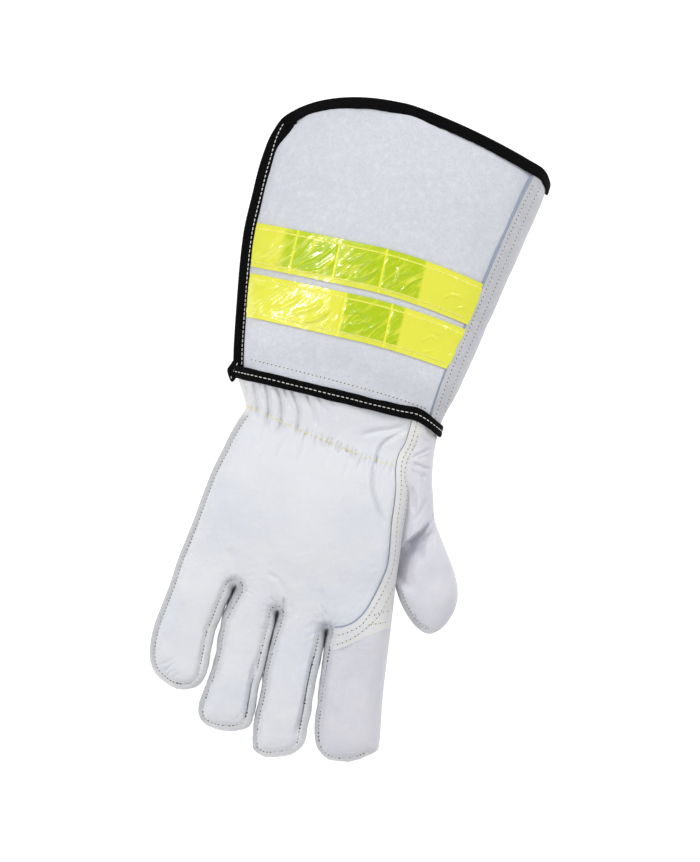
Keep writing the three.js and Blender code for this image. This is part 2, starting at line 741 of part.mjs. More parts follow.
const band = { low: 0.35, high: 0.35 + wristBand.thickness, half: wristBand.width / 2 };
const bandProfile = [
  [-band.half, band.low],
  [band.half, band.low],
  [band.half, band.high - 0.7],
  [band.half - 0.9, band.high],
  [-band.half + 0.9, band.high],
  [-band.half, band.high - 0.7],
];

// The glove's pieces
const grainLeather = new THREE.MeshStandardMaterial({ name: "grain_leather", color: 0xdcdde1, roughness: 0.78 });
const splitLeather = new THREE.MeshStandardMaterial({ name: "split_leather", color: 0xd4d6dc, roughness: 0.92 });
const blackTape = new THREE.MeshStandardMaterial({ name: "binding_tape", color: 0x1d1d20, roughness: 0.85 });
const vinyl = new THREE.MeshStandardMaterial({ name: "reflective_vinyl", color: 0xdfe63a, roughness: 0.25 });

const glove = new THREE.Group();
glove.name = "lineman_glove";

function add(name, body, material) {
  const flat = body.toNonIndexed();
  flat.computeVertexNormals();
  const mesh = new THREE.Mesh(mergeVertices(flat, 1e-5), material.clone());
  mesh.name = name;
  glove.add(mesh);
}

const handOuter = hand.surface(0);
const handInner = hand.surface(-leather);
const handPiece = (name) => {
  const faces = hand.faces.filter((f) => pieceOf(f) === name).map((f) => f.face);
  return panel(faces, handOuter, handInner);
};
const thumbHollow = thumb.filled(-leather);
const handRoom = hand.filled(seamGap);
const thumbPiece = (ownSide, ownRim) => {
  const faces = thumb.faces.filter((f) => (f.zone === "rim" ? ownRim(f.step) : f.side === ownSide));
  const whole = panel(faces.map((f) => f.face), thumb.surface(0), thumb.surface(-leather));
  return toBody(toSolid(whole).subtract(handRoom));
};
add("hand_back", handPiece("hand_back"), grainLeather);
add("index_back", handPiece("index_back"), grainLeather);
add("fourchette_pinky_ring", handPiece("fourchette_pinky_ring"), grainLeather);
add("fourchette_ring_middle", handPiece("fourchette_ring_middle"), grainLeather);
add("fourchette_middle_index", handPiece("fourchette_middle_index"), grainLeather);
add("palm", toBody(toSolid(handPiece("palm")).subtract(thumbHollow)), grainLeather);
add("thumb_back", thumbPiece("top", (step) => step >= thumbTip), grainLeather);
add("thumb_front", thumbPiece("bottom", (step) => step < thumbTip), grainLeather);

add("cuff_back", sheet(cuff, [0, 0], [seamStation, mouthRow], split, 0), splitLeather);
add("cuff_palm", sheet(cuff, [seamStation, 0], [lastStation, mouthRow], split, 0), splitLeather);
tapes.forEach((tape, i) => {
  const row = tapeRow + 3 * i;
  const lift = seamGap + reflective.thickness;
  add(tape.name, sheet(cuff, [3, row], [seamStation, row + 2], reflective.thickness, lift), vinyl);
});
add("rim_binding", sweep(rimFrames(), channelProfile(split), false), blackTape);
add("side_binding", sweep(sideFrames(), channelProfile(2 * finHalf + split), false), blackTape);
add("wrist_binding", sweep(wristFrames(), bandProfile, true), blackTape);

// The origin goes under the middle of the glove, on the floor.
const centre = new THREE.Box3().setFromObject(glove).getCenter(new THREE.Vector3());
for (const piece of glove.children) piece.geometry.translate(-centre.x, -centre.y, 0);

export default glove;
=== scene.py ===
# Leather lineman's glove, back of the right hand up, on a white studio floor.
# Shapes are worked out in millimetres in the pattern's own frame: +X to the thumb side, +Y to the cuff's mouth.
import math

import bpy
import numpy as np
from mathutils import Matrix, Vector
from mathutils.bvhtree import BVHTree
from mathutils.geometry import delaunay_2d_cdt
from mathutils.kdtree import KDTree


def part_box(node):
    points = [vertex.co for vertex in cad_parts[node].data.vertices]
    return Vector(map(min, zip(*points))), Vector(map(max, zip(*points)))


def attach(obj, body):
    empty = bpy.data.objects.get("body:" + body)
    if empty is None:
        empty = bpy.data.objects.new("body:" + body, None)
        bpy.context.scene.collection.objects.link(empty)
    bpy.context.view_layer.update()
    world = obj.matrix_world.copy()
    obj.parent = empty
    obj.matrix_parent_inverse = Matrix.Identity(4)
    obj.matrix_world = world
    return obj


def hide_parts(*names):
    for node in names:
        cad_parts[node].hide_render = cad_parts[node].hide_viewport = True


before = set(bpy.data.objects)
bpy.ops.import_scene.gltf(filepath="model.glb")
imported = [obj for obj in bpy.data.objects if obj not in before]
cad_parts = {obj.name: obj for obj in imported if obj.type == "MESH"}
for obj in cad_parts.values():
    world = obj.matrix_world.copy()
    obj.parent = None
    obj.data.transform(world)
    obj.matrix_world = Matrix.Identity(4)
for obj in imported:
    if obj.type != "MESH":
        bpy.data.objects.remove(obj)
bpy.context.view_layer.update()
random = np.random.default_rng(7)
pi = math.pi

# the pattern's frame sits a little off the row's frame; the edges of two CAD boxes say by how much
palmLeft, backTop = -85.6, 17.9
patternShift = np.array([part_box("palm")[0].x * 1000 - palmLeft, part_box("hand_back")[1].y * 1000 - backTop, 0.0])


def smoothstep(x, low, high):
    t = np.clip((x - low) / (high - low), 0, 1)
    return t * t * (3 - 2 * t)


def mix(a, b, t):
    return a + (b - a) * t


def rounded(distance, radius):  # quarter round: 0 at the outline, 1 from the radius inwards
    t = 1 - np.clip(distance / radius, 0, 1)
    return np.sqrt(1 - t * t)


def curve(rows, at, column=None):  # smooth curve through table rows (x, a, b, ...)
    rows = np.asarray(rows, float)
    x, y = rows[:, 0], rows[:, 1:]
    slope = np.gradient(y, x, axis=0)
    at = np.clip(np.asarray(at, float), x[0], x[-1])
    i = np.clip(np.searchsorted(x, at) - 1, 0, len(x) - 2)
    h = x[i + 1] - x[i]
    t = ((at - x[i]) / h)[..., None]
    h = h[..., None]
    out = ((1 + 2 * t) * (1 - t) ** 2 * y[i] + t * (1 - t) ** 2 * h * slope[i]
           + t * t * (3 - 2 * t) * y[i + 1] + t * t * (t - 1) * h * slope[i + 1])
    return out if column is None else out[..., column]


def resample(path, step):  # even steps along a polyline
    path = np.asarray(path, float)
    along = np.concatenate([[0], np.cumsum(np.linalg.norm(np.diff(path, axis=0), axis=1))])
    count = max(2, int(round(along[-1] / step)) + 1)
    at = np.linspace(0, along[-1], count)
    return np.stack([np.interp(at, along, path[:, k]) for k in range(path.shape[1])], 1)


def spline(points, step):  # centripetal Catmull-Rom through the points, in even steps
    p = np.asarray(points, float)
    if len(p) == 2:
        return resample(p, step)
    p = np.vstack([2 * p[0] - p[1], p, 2 * p[-1] - p[-2]])
    out = []
    for k in range(1, len(p) - 2):
        a, b, c, d = p[k - 1:k + 3]
        t = np.cumsum([0] + [max(np.linalg.norm(v) ** 0.5, 1e-6) for v in (b - a, c - b, d - c)])
        u = np.linspace(t[1], t[2], 16, endpoint=k == len(p) - 3)[:, None]
        ab = (t[1] - u) / (t[1] - t[0]) * a + (u - t[0]) / (t[1] - t[0]) * b
        bc = (t[2] - u) / (t[2] - t[1]) * b + (u - t[1]) / (t[2] - t[1]) * c
        cd = (t[3] - u) / (t[3] - t[2]) * c + (u - t[2]) / (t[3] - t[2]) * d
        abc = (t[2] - u) / (t[2] - t[0]) * ab + (u - t[0]) / (t[2] - t[0]) * bc
        bcd = (t[3] - u) / (t[3] - t[1]) * bc + (u - t[1]) / (t[3] - t[1]) * cd
        out.append((t[2] - u) / (t[2] - t[1]) * abc + (u - t[1]) / (t[2] - t[1]) * bcd)
    return resample(np.vstack(out), step)


def unit(vectors):
    return vectors / np.maximum(np.linalg.norm(vectors, axis=-1, keepdims=True), 1e-9)


def sidewards(path):  # unit vectors to the left of a path
    d = unit(np.gradient(path[:, :2], axis=0))
    return np.stack([-d[:, 1], d[:, 0]], 1)


def pointTree(points):  # for finding the nearest point in plan
    tree = KDTree(len(points))
    for i, p in enumerate(points):
        tree.insert((p[0], p[1], 0), i)
    tree.balance()
    return tree


def nearestOn(path, points):  # distance, share along and signed side of the nearest point of a path
    fine = resample(path, 0.3)
    tree = pointTree(fine)
    found = [tree.find((x, y, 0)) for x, y in points[:, :2]]
    index = np.array([f[1] for f in found], int)
    distance = np.array([f[2] for f in found])
    left = sidewards(fine)
    side = np.sum((points[:, :2] - fine[index, :2]) * left[index], axis=1)
    return distance, index / (len(fine) - 1), side


def isInside(loop, points):
    x, y = points[:, 0], points[:, 1]
    inside = np.zeros(len(points), bool)
    for a, b in zip(loop, np.roll(loop, 1, axis=0)):
        if a[1] == b[1]:
            continue
        crosses = (a[1] > y) != (b[1] > y)
        inside ^= crosses & (x < (b[0] - a[0]) * (y - a[1]) / (b[1] - a[1]) + a[0])
    return inside


waves = {}


def ripple(x, y, length, seed):  # smooth noise of about -1 to 1 with bumps of the given length
    if seed not in waves:
        r = np.random.default_rng(seed)
        angle = r.uniform(0, 2 * pi, 14)
        waves[seed] = np.stack([np.cos(angle), np.sin(angle), r.uniform(0.6, 1.5, 14), r.uniform(0, 2 * pi, 14)], 1)
    total = 0
    for cx, cy, pace, phase in waves[seed]:
        total = total + np.sin(2 * pi * pace * (cx * x + cy * y) / (length * 2) + phase)
    return total / 5


def weld(parts):  # joins surfaces given as (points, triangles) where their points meet
    points = np.vstack([p for p, _ in parts])
    starts = np.cumsum([0] + [len(p) for p, _ in parts])
    faces = np.vstack([f + s for (_, f), s in zip(parts, starts)])
    cells = np.round(points / 0.01).astype(np.int64)
    _, first, back = np.unique(cells, axis=0, return_index=True, return_inverse=True)
    back = back.reshape(-1)
    faces = back[faces]
    ok = (faces[:, 0] != faces[:, 1]) & (faces[:, 1] != faces[:, 2]) & (faces[:, 0] != faces[:, 2])
    return points[first], faces[ok]


def normalsOf(points, faces):
    n = np.cross(points[faces[:, 1]] - points[faces[:, 0]], points[faces[:, 2]] - points[faces[:, 0]])
    out = np.zeros_like(points)
    for k in range(3):
        np.add.at(out, faces[:, k], n)
    return unit(out)


def borderOf(faces):  # directed edges that only one face has
    edges = np.vstack([faces[:, [0, 1]], faces[:, [1, 2]], faces[:, [2, 0]]])
    size = faces.max() + 1
    code = edges[:, 0] * size + edges[:, 1]
    return edges[~np.isin(code, edges[:, 1] * size + edges[:, 0])]


def facing(points, faces, way):  # faces turned so that their outer side looks the given way
    return faces if np.sum(normalsOf(points, faces) * way) > 0 else faces[:, ::-1]


def shell(points, faces, wall):  # a sheet: outer face, inner face and the cut edge
    inner = points - normalsOf(points, faces) * wall
    n = len(points)
    rim = borderOf(faces)
    edge = np.vstack([np.stack([rim[:, 1], rim[:, 0], rim[:, 0] + n], 1),
                      np.stack([rim[:, 1], rim[:, 0] + n, rim[:, 1] + n], 1)])
    kinds = np.repeat([0, 1, 2], [len(faces), len(faces), len(edge)])
    return np.vstack([points, inner]), np.vstack([faces, faces[:, ::-1] + n, edge]), kinds


def gridSurface(grid, way):  # points and triangles of a grid of points
    rows, columns = grid.shape[:2]
    i, j = np.meshgrid(np.arange(rows - 1), np.arange(columns - 1), indexing="ij")
    a = (i * columns + j).ravel()
    faces = np.vstack([np.stack([a, a + columns, a + columns + 1], 1), np.stack([a, a + columns + 1, a + 1], 1)])
    points = grid.reshape(-1, 3)
    return points, facing(points, faces, way)


def fillLoop(loop, spacing, extra=None):  # triangles of even size inside a closed loop in plan
    low, high = loop.min(0), loop.max(0)
    rowStep = spacing * math.sqrt(0.75)
    rows = np.arange(low[1] + rowStep / 2, high[1], rowStep)
    grid = []
    for k, y in enumerate(rows):
        x = np.arange(low[0] + (k % 2) * spacing / 2, high[0], spacing)
        grid.append(np.stack([x, np.full(len(x), y)], 1))
    grid = np.vstack(grid)
    grid = grid[isInside(loop, grid)]
    fixed = loop if extra is None else np.vstack([loop, extra])
    tree = pointTree(fixed)
    free = np.array([tree.find((x, y, 0))[2] > spacing * 0.6 for x, y in grid], bool)
    coords = np.vstack([fixed, grid[free]])
    found = delaunay_2d_cdt([Vector(p) for p in coords], [], [list(range(len(loop)))], 1, 1e-7)
    points = np.array([tuple(v) for v in found[0]])
    faces = np.array([f for f in found[2]])
    source = np.array([o[0] if o else -1 for o in found[3]])
    return points, faces, source


def makePiece(name, points, faces, materials, slot=None, kinds=None, replaces=(), crease=50, uv=None):
    mesh = bpy.data.meshes.new(name)
    placed = (points + patternShift) * 0.001
    placed[:, 2] = np.maximum(placed[:, 2], 0.00002)  # nothing dips into the floor
    mesh.from_pydata(placed.tolist(), [], faces.tolist() if isinstance(faces, np.ndarray) else faces)
    for m in materials:
        mesh.materials.append(m)
    if kinds is not None:
        mesh.polygons.foreach_set("material_index", np.asarray(kinds, np.int32))
    if uv is not None:
        layer = mesh.uv_layers.new(name="lay")
        corner = np.empty(len(mesh.loops), np.int32)
        mesh.loops.foreach_get("vertex_index", corner)
        layer.data.foreach_set("uv", uv[corner].astype(np.float32).ravel())
    mesh.shade_smooth()
    mesh.set_sharp_from_angle(angle=math.radians(crease))
    mesh.update()
    piece = bpy.data.objects.new(name, mesh)
    bpy.context.scene.collection.objects.link(piece)
    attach(piece, "root")
    if replaces:
        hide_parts(*replaces)


def sheetPiece(name, surface, wall, materials, slot, replaced, lay=None, edgeFaces=None, edgeKind=2):
    verts, tris, kinds = shell(*surface, wall)
    if edgeFaces is not None:  # outer faces that show the cut edge
        kinds[:len(edgeFaces)][edgeFaces] = edgeKind
    if lay is not None:  # inner and outer face share the UV map
        lay = np.column_stack([lay, 0 * lay]) if lay.ndim == 1 else lay
        lay = np.vstack([lay, lay])
    makePiece(name, verts, tris, materials, slot, kinds if len(materials) > 1 else None, [replaced], uv=lay)
    print(name, len(tris))


def linear(hexCode):
    out = []
    for k in (1, 3, 5):
        c = int(hexCode[k:k + 2], 16) / 255
        out.append(c / 12.92 if c <= 0.04045 else ((c + 0.055) / 1.055) ** 2.4)
    return (*out, 1.0)


def newMaterial(name):
    material = bpy.data.materials.new(name)
    material.use_nodes = True
    tree = material.node_tree
    tree.nodes.clear()
    return material, tree


def node(tree, kind, inputs=None, **settings):
    made = tree.nodes.new(kind)
    for key, value in settings.items():
        setattr(made, key, value)
    for key, value in (inputs or {}).items():
        if isinstance(value, bpy.types.NodeSocket):
            tree.links.new(value, made.inputs[key])
        else:
            made.inputs[key].default_value = value
    return made


def finishMaterial(tree, shader):
    node(tree, "ShaderNodeOutputMaterial", {"Surface": shader.outputs[0]})


# Full-grain cowhide, drum dyed white and ironed: a matte skin with fine pores and cloudy bluish tones.
# A piece whose rims turn from the light says in its UV map how much painted shade they get; grime specks are strewn
# over that shade.
def grainLeather(name, base, cool, warm, shadeAndGrime=None):
    material, tree = newMaterial(name)
    place = node(tree, "ShaderNodeTexCoord").outputs["Object"]
    clouds = node(tree, "ShaderNodeTexNoise", {"Vector": place, "Scale": 1 / 0.038, "Detail": 3.0, "Roughness": 0.55})
    patches = node(tree, "ShaderNodeTexNoise", {"Vector": place, "Scale": 1 / 0.009, "Detail": 4.0, "Roughness": 0.6})
    # pores 1.1 mm apart, coarser than real ones
    pores = node(tree, "ShaderNodeTexVoronoi", {"Vector": place, "Scale": 1 / 0.0011, "Randomness": 1.0})
    wrinkles = node(tree, "ShaderNodeTexNoise", {"Vector": place, "Scale": 1 / 0.0024, "Detail": 5.0,
                                                 "Roughness": 0.62, "Distortion": 0.6})
    coolShare = node(tree, "ShaderNodeMapRange", {"Value": clouds.outputs["Fac"],
                                                  "From Min": 0.42, "From Max": 0.66, "To Max": 0.75})
    warmShare = node(tree, "ShaderNodeMapRange", {"Value": patches.outputs["Fac"],
                                                  "From Min": 0.5, "From Max": 0.78, "To Max": 0.55})
    poreShare = node(tree, "ShaderNodeMapRange", {"Value": pores.outputs["Distance"], "From Min": 0.0,
                                                  "From Max": 0.22, "To Min": 0.07, "To Max": 0.0})
    layers = [(cool, coolShare.outputs[0]), (warm, warmShare.outputs[0]), ("#9a9aa4", poreShare.outputs[0])]
    # painted shade: where the UV map says so the colour turns greyer, with darker grime specks on top
    if shadeAndGrime:
        lay = node(tree, "ShaderNodeUVMap", uv_map="lay").outputs[0]
        share = node(tree, "ShaderNodeSeparateXYZ", {"Vector": lay}).outputs["X"]
        grime = node(tree, "ShaderNodeTexNoise", {"Vector": place, "Scale": 1 / 0.0013,
                                                  "Detail": 3.0, "Roughness": 0.6})
        specks = node(tree, "ShaderNodeMapRange", {"Value": grime.outputs["Fac"],
                                                   "From Min": 0.5, "From Max": 0.66, "To Max": 0.42})
        dirt = node(tree, "ShaderNodeMath", {0: share, 1: specks.outputs[0]}, operation="MULTIPLY")
        layers += [(shadeAndGrime, share), ("#7f8186", dirt.outputs[0])]
    colour = linear(base)
    for tone, amount in layers:
        mixed = node(tree, "ShaderNodeMix", {"Factor": amount, 6: colour, 7: linear(tone)}, data_type="RGBA")
        colour = mixed.outputs[2]
    rough = node(tree, "ShaderNodeMapRange", {"Value": patches.outputs["Fac"], "To Min": 0.66, "To Max": 0.8})
    grainBump = node(tree, "ShaderNodeBump", {"Height": wrinkles.outputs["Fac"], "Strength": 0.6, "Distance": 0.0006})
    poreBump = node(tree, "ShaderNodeBump", {"Height": pores.outputs["Distance"], "Strength": 0.25,
                                             "Distance": 0.00012, "Normal": grainBump.outputs[0]})
    shader = node(tree, "ShaderNodeBsdfPrincipled", {"Base Color": colour, "Roughness": rough.outputs[0], "IOR": 1.5,
                                                     "Specular IOR Level": 0.35, "Normal": poreBump.outputs[0]})
    finishMaterial(tree, shader)
    return material


# Split cowhide, buffed: a short nap that scatters light, so it looks flat, soft and finely mottled
def splitLeather(name, base, dark, light):
    material, tree = newMaterial(name)
    place = node(tree, "ShaderNodeTexCoord").outputs["Object"]
    clouds = node(tree, "ShaderNodeTexNoise", {"Vector": place, "Scale": 1 / 0.03, "Detail": 4.0, "Roughness": 0.6})
    # fibre bundles, drawn 1.6 mm long
    nap = node(tree, "ShaderNodeTexNoise", {"Vector": place, "Scale": 1 / 0.0016, "Detail": 6.0,
                                            "Roughness": 0.75, "Distortion": 1.2})
    fleck = node(tree, "ShaderNodeTexNoise", {"Vector": place, "Scale": 1 / 0.0045, "Detail": 5.0, "Roughness": 0.7})
    darkShare = node(tree, "ShaderNodeMapRange", {"Value": nap.outputs["Fac"], "From Min": 0.38, "From Max": 0.68,
                                                  "To Min": 0.66, "To Max": 0.0})
    lightShare = node(tree, "ShaderNodeMapRange", {"Value": fleck.outputs["Fac"],
                                                   "From Min": 0.5, "From Max": 0.75, "To Max": 0.6})
    cloudShare = node(tree, "ShaderNodeMapRange", {"Value": clouds.outputs["Fac"],
                                                   "From Min": 0.42, "From Max": 0.7, "To Max": 0.14})
    colour = linear(base)
    for tone, share in ((dark, darkShare), (light, lightShare), (dark, cloudShare)):
        mixed = node(tree, "ShaderNodeMix", {"Factor": share.outputs[0], 6: colour, 7: linear(tone)}, data_type="RGBA")
        colour = mixed.outputs[2]
    bump = node(tree, "ShaderNodeBump", {"Height": nap.outputs["Fac"], "Strength": 0.5, "Distance": 0.0005})
    shader = node(tree, "ShaderNodeBsdfPrincipled", {"Base Color": colour, "Roughness": 0.92, "Sheen Weight": 0.25,
                                                     "Sheen Roughness": 0.6, "Specular IOR Level": 0.15,
                                                     "Normal": bump.outputs[0]})
    finishMaterial(tree, shader)
    return material


# Woven cotton-polyester bias tape: dull black with a fine rib and a little lint
def wovenTape(name, base, light):
    material, tree = newMaterial(name)
    place = node(tree, "ShaderNodeTexCoord").outputs["Object"]
    # diagonal ribs 0.8 mm apart, coarser than the real weave
    ribs = node(tree, "ShaderNodeTexWave", {"Vector": place, "Scale": 0.5 / 0.0011, "Distortion": 1.5,
                                            "Detail": 2.0, "Detail Scale": 3.0}, bands_direction="DIAGONAL")
    lint = node(tree, "ShaderNodeTexNoise", {"Vector": place, "Scale": 1 / 0.0012, "Detail": 5.0, "Roughness": 0.7})
    share = node(tree, "ShaderNodeMapRange", {"Value": lint.outputs["Fac"],
                                              "From Min": 0.45, "From Max": 0.8, "To Max": 0.8})
    tint = node(tree, "ShaderNodeMix", {"Factor": share.outputs[0], 6: linear(base), 7: linear(light)},
                data_type="RGBA")
    ribBump = node(tree, "ShaderNodeBump", {"Height": ribs.outputs["Fac"], "Strength": 0.4, "Distance": 0.0002})
    lintBump = node(tree, "ShaderNodeBump", {"Height": lint.outputs["Fac"], "Strength": 0.4, "Distance": 0.0003,
                                             "Normal": ribBump.outputs[0]})
    shader = node(tree, "ShaderNodeBsdfPrincipled", {"Base Color": tint.outputs[2], "Roughness": 0.9,
                                                     "Specular IOR Level": 0.09, "Normal": lintBump.outputs[0]})
    finishMaterial(tree, shader)
    return material


# Bonded polyester sewing thread: twisted, slightly shiny
def sewingThread(name, base, dark):
    material, tree = newMaterial(name)
    place = node(tree, "ShaderNodeTexCoord").outputs["Object"]
    twist = node(tree, "ShaderNodeTexNoise", {"Vector": place, "Scale": 1 / 0.0012, "Detail": 2.0})
    tint = node(tree, "ShaderNodeMix", {"Factor": twist.outputs["Fac"], 6: linear(base), 7: linear(dark)},
                data_type="RGBA")
    bump = node(tree, "ShaderNodeBump", {"Height": twist.outputs["Fac"], "Strength": 0.3, "Distance": 0.0001})
    shader = node(tree, "ShaderNodeBsdfPrincipled", {"Base Color": tint.outputs[2], "Roughness": 0.5,
                                                     "Normal": bump.outputs[0]})
    finishMaterial(tree, shader)
    return material


# Chrome-tanned core of the hide, where the leather is cut: blue-grey and fuzzy
def cutEdge(name, base, dark):
    material, tree = newMaterial(name)
    place = node(tree, "ShaderNodeTexCoord").outputs["Object"]
    fuzz = node(tree, "ShaderNodeTexNoise", {"Vector": place, "Scale": 1 / 0.0015, "Detail": 4.0, "Roughness": 0.7})
    tint = node(tree, "ShaderNodeMix", {"Factor": fuzz.outputs["Fac"], 6: linear(base), 7: linear(dark)},
                data_type="RGBA")
    bump = node(tree, "ShaderNodeBump", {"Height": fuzz.outputs["Fac"], "Strength": 0.5, "Distance": 0.0003})
    shader = node(tree, "ShaderNodeBsdfPrincipled", {"Base Color": tint.outputs[2], "Roughness": 0.95,
                                                     "Specular IOR Level": 0.1, "Normal": bump.outputs[0]})
    finishMaterial(tree, shader)
    return material


# Fluorescent PVC with a microprism back: clear glossy skin over cells that turn green where the prisms face the light.
# The UV map counts millimetres along and across the tape.
def prismVinyl(name, greenFrom, greenTo, seals, border):
    material, tree = newMaterial(name)
    lay = node(tree, "ShaderNodeUVMap", uv_map="lay").outputs[0]
    split = node(tree, "ShaderNodeSeparateXYZ", {"Vector": lay})
    wobble = node(tree, "ShaderNodeTexNoise", {"Vector": lay, "Scale": 0.12, "Detail": 2.0})
    along = node(tree, "ShaderNodeMath", {0: split.outputs["X"], 1: wobble.outputs["Fac"]}, operation="ADD").outputs[0]
    middle = node(tree, "ShaderNodeMath", {0: split.outputs["Y"]}, operation="ABSOLUTE").outputs[0]
    # the green stretch, with soft ends; its slanting yellow clouds are painted highlights of refracted light
    rise = node(tree, "ShaderNodeMapRange", {"Value": along, "From Min": greenFrom - 2.5, "From Max": greenFrom + 2.5},
                interpolation_type="SMOOTHSTEP")
    fall = node(tree, "ShaderNodeMapRange", {"Value": along, "From Min": greenTo - 1.0, "From Max": greenTo + 1.0,
                                             "To Min": 1.0, "To Max": 0.0}, interpolation_type="SMOOTHSTEP")
    slant = node(tree, "ShaderNodeMapping", {"Vector": lay, "Rotation": (0, 0, math.radians(50)),
                                             "Scale": (13, 2.7, 1.0)}, vector_type="TEXTURE").outputs[0]
    clouds = node(tree, "ShaderNodeTexNoise", {"Vector": slant, "Scale": 0.7, "Detail": 4.0, "Distortion": 1.6})
    cloudShare = node(tree, "ShaderNodeMapRange", {"Value": clouds.outputs["Fac"], "From Min": 0.5, "From Max": 0.64,
                                                   "To Min": 1.0, "To Max": 0.3})
    # the lower border has no prisms behind it and stays yellow
    inBorder = node(tree, "ShaderNodeMapRange", {"Value": middle, "From Min": border - 0.3, "From Max": border + 0.2})
    lowerSide = node(tree, "ShaderNodeMapRange", {"Value": split.outputs["Y"], "From Min": -1.0, "From Max": 1.0,
                                                  "To Min": 1.0, "To Max": 0.15})
    plain = node(tree, "ShaderNodeMath", {0: inBorder.outputs[0], 1: lowerSide.outputs[0]},
                 operation="MULTIPLY").outputs[0]
    backed = node(tree, "ShaderNodeMapRange", {"Value": plain, "To Min": 1.0, "To Max": 0.3})
    green = rise.outputs[0]
    for factor in (fall, cloudShare, backed):
        green = node(tree, "ShaderNodeMath", {0: green, 1: factor.outputs[0]}, operation="MULTIPLY").outputs[0]
    paleShare = node(tree, "ShaderNodeMapRange", {"Value": plain, "To Max": 0.3})
    # welded seal lines: some across the tape, one along each border
    welds = [(split.outputs["X"], x, 0.35, 0.8, 0.85) for x in seals] + [(middle, border - 0.2, 0.25, 0.6, 0.8)]
    seal = 0.0
    for place, at, core, reach, strength in welds:
        gap = node(tree, "ShaderNodeMath", {0: place, 1: at}, operation="SUBTRACT").outputs[0]
        gap = node(tree, "ShaderNodeMath", {0: gap}, operation="ABSOLUTE").outputs[0]
        line = node(tree, "ShaderNodeMapRange", {"Value": gap, "From Min": core, "From Max": reach,
                                                 "To Min": strength, "To Max": 0.0}).outputs[0]
        seal = node(tree, "ShaderNodeMath", {0: seal, 1: line}, operation="MAXIMUM").outputs[0]
    colour = linear("#e5e546")
    for tone, share in (("#b0ca00", green), ("#ece95e", paleShare.outputs[0]), ("#f4ef3c", seal)):
        mixed = node(tree, "ShaderNodeMix", {"Factor": share, 6: colour, 7: linear(tone)}, data_type="RGBA")
        colour = mixed.outputs[2]
    # prism cells of 0.8 mm, coarser than the real 0.1 mm ones
    prisms = node(tree, "ShaderNodeTexChecker", {"Vector": lay, "Scale": 1 / 0.8})
    prismBump = node(tree, "ShaderNodeBump", {"Height": prisms.outputs["Fac"], "Strength": 0.08, "Distance": 0.0001})
    # crumpled skin: slanting wrinkles about 4.5 mm apart
    crumple = node(tree, "ShaderNodeTexNoise", {"Vector": slant, "Scale": 0.6, "Detail": 2.0,
                                                "Roughness": 0.4, "Distortion": 1.2})
    skin = node(tree, "ShaderNodeBump", {"Height": crumple.outputs["Fac"], "Strength": 1.0, "Distance": 0.0008})
    # fluorescence gives back more yellow light than falls on it, so the colour also glows a little
    shader = node(tree, "ShaderNodeBsdfPrincipled", {"Base Color": colour, "Roughness": 0.35, "IOR": 1.53,
                                                     "Specular IOR Level": 0.12, "Normal": prismBump.outputs[0],
                                                     "Coat Weight": 1.0, "Coat Roughness": 0.05, "Coat IOR": 1.6,
                                                     "Coat Normal": skin.outputs[0],
                                                     "Emission Color": colour, "Emission Strength": 0.03})
    finishMaterial(tree, shader)
    return material


# Seamless background paper: matte white, lit so evenly that it shows no shade
def paperFloor(name, base):
    material, tree = newMaterial(name)
    shader = node(tree, "ShaderNodeBsdfPrincipled", {"Base Color": linear(base), "Roughness": 1.0,
                                                     "Specular IOR Level": 0.0, "Emission Color": (1, 1, 1, 1),
                                                     "Emission Strength": 0.8})
    finishMaterial(tree, shader)
    return material


backLeather = grainLeather("backLeather", "#dddee2", "#d5d8e0", "#e2e1df")
indexLeather = grainLeather("indexLeather", "#d6d5db", "#cfcfd9", "#dbd9da")
# the last tone of these three is painted shade for their rims that turn from the light
palmLeather = grainLeather("palmLeather", "#e4e3e1", "#dadbdf", "#e6e3da", shadeAndGrime="#c3c4c7")
thumbLeather = grainLeather("thumbLeather", "#d9d8de", "#d0d0da", "#dedcdc", shadeAndGrime="#bcbdc1")
fourchetteLeather = grainLeather("fourchetteLeather", "#e2e2e4", "#cdd0d6", "#e4e1da", shadeAndGrime="#c3c5c9")
fleshSide = splitLeather("fleshSide", "#c9cbd2", "#a9adb8", "#d8d9dd")
cuffSplit = splitLeather("cuffSplit", "#dadbe1", "#bfc2ca", "#e4e4e8")
stripSplit = splitLeather("stripSplit", "#c9c9ce", "#b4b5bc", "#d3d3d6")
rawEdge = cutEdge("rawEdge", "#a3acbb", "#7d8797")
# painted shadow: a darker cut edge stands for the shadow the lapped edge casts beside the wrist
lapEdgeShadow = cutEdge("lapEdgeShadow", "#7c818b", "#50545e")
blackTape = wovenTape("blackTape", "#050506", "#141417")
creamThread = sewingThread("creamThread", "#e2ddc8", "#c9c3ab")
yellowThread = sewingThread("yellowThread", "#f0e9b4", "#e3d890")
paleThread = sewingThread("paleThread", "#f6f3c4", "#e6df7c")
whiteThread = sewingThread("whiteThread", "#f2f1ea", "#c9c8c2")
# painted shade: the needle holes are dark discs standing in for the shade inside each hole
holeShade = cutEdge("holeShade", "#4a463e", "#2b2926")
print("materials made")


hand = {
    "step": 0.88, "rimStep": 0.7, "wall": 1.4, "edgeRound": 12.0, "wristEnd": 17.0,
    "crownX": -14.0, "crownHalf": 56.0, "crownDrop": 5.0,
    "grooveDepth": 1.0, "grooveWidth": 1.0, "lapLift": 1.1, "lapBevel": 0.42,
}

# y, height of the back, level of the widest line, lift of the palm
handHeights = [
    (-195, 20, 11.5, 0), (-160, 24, 12, 0), (-120, 27.5, 13, 0), (-95, 32, 14, 0), (-60, 38, 15, 0),
    (-25, 37, 16, 0), (-4, 32.5, 16.5, 1.5), (8, 34.5, 17, 3.2), (17, 36, 17, 3.2),
]

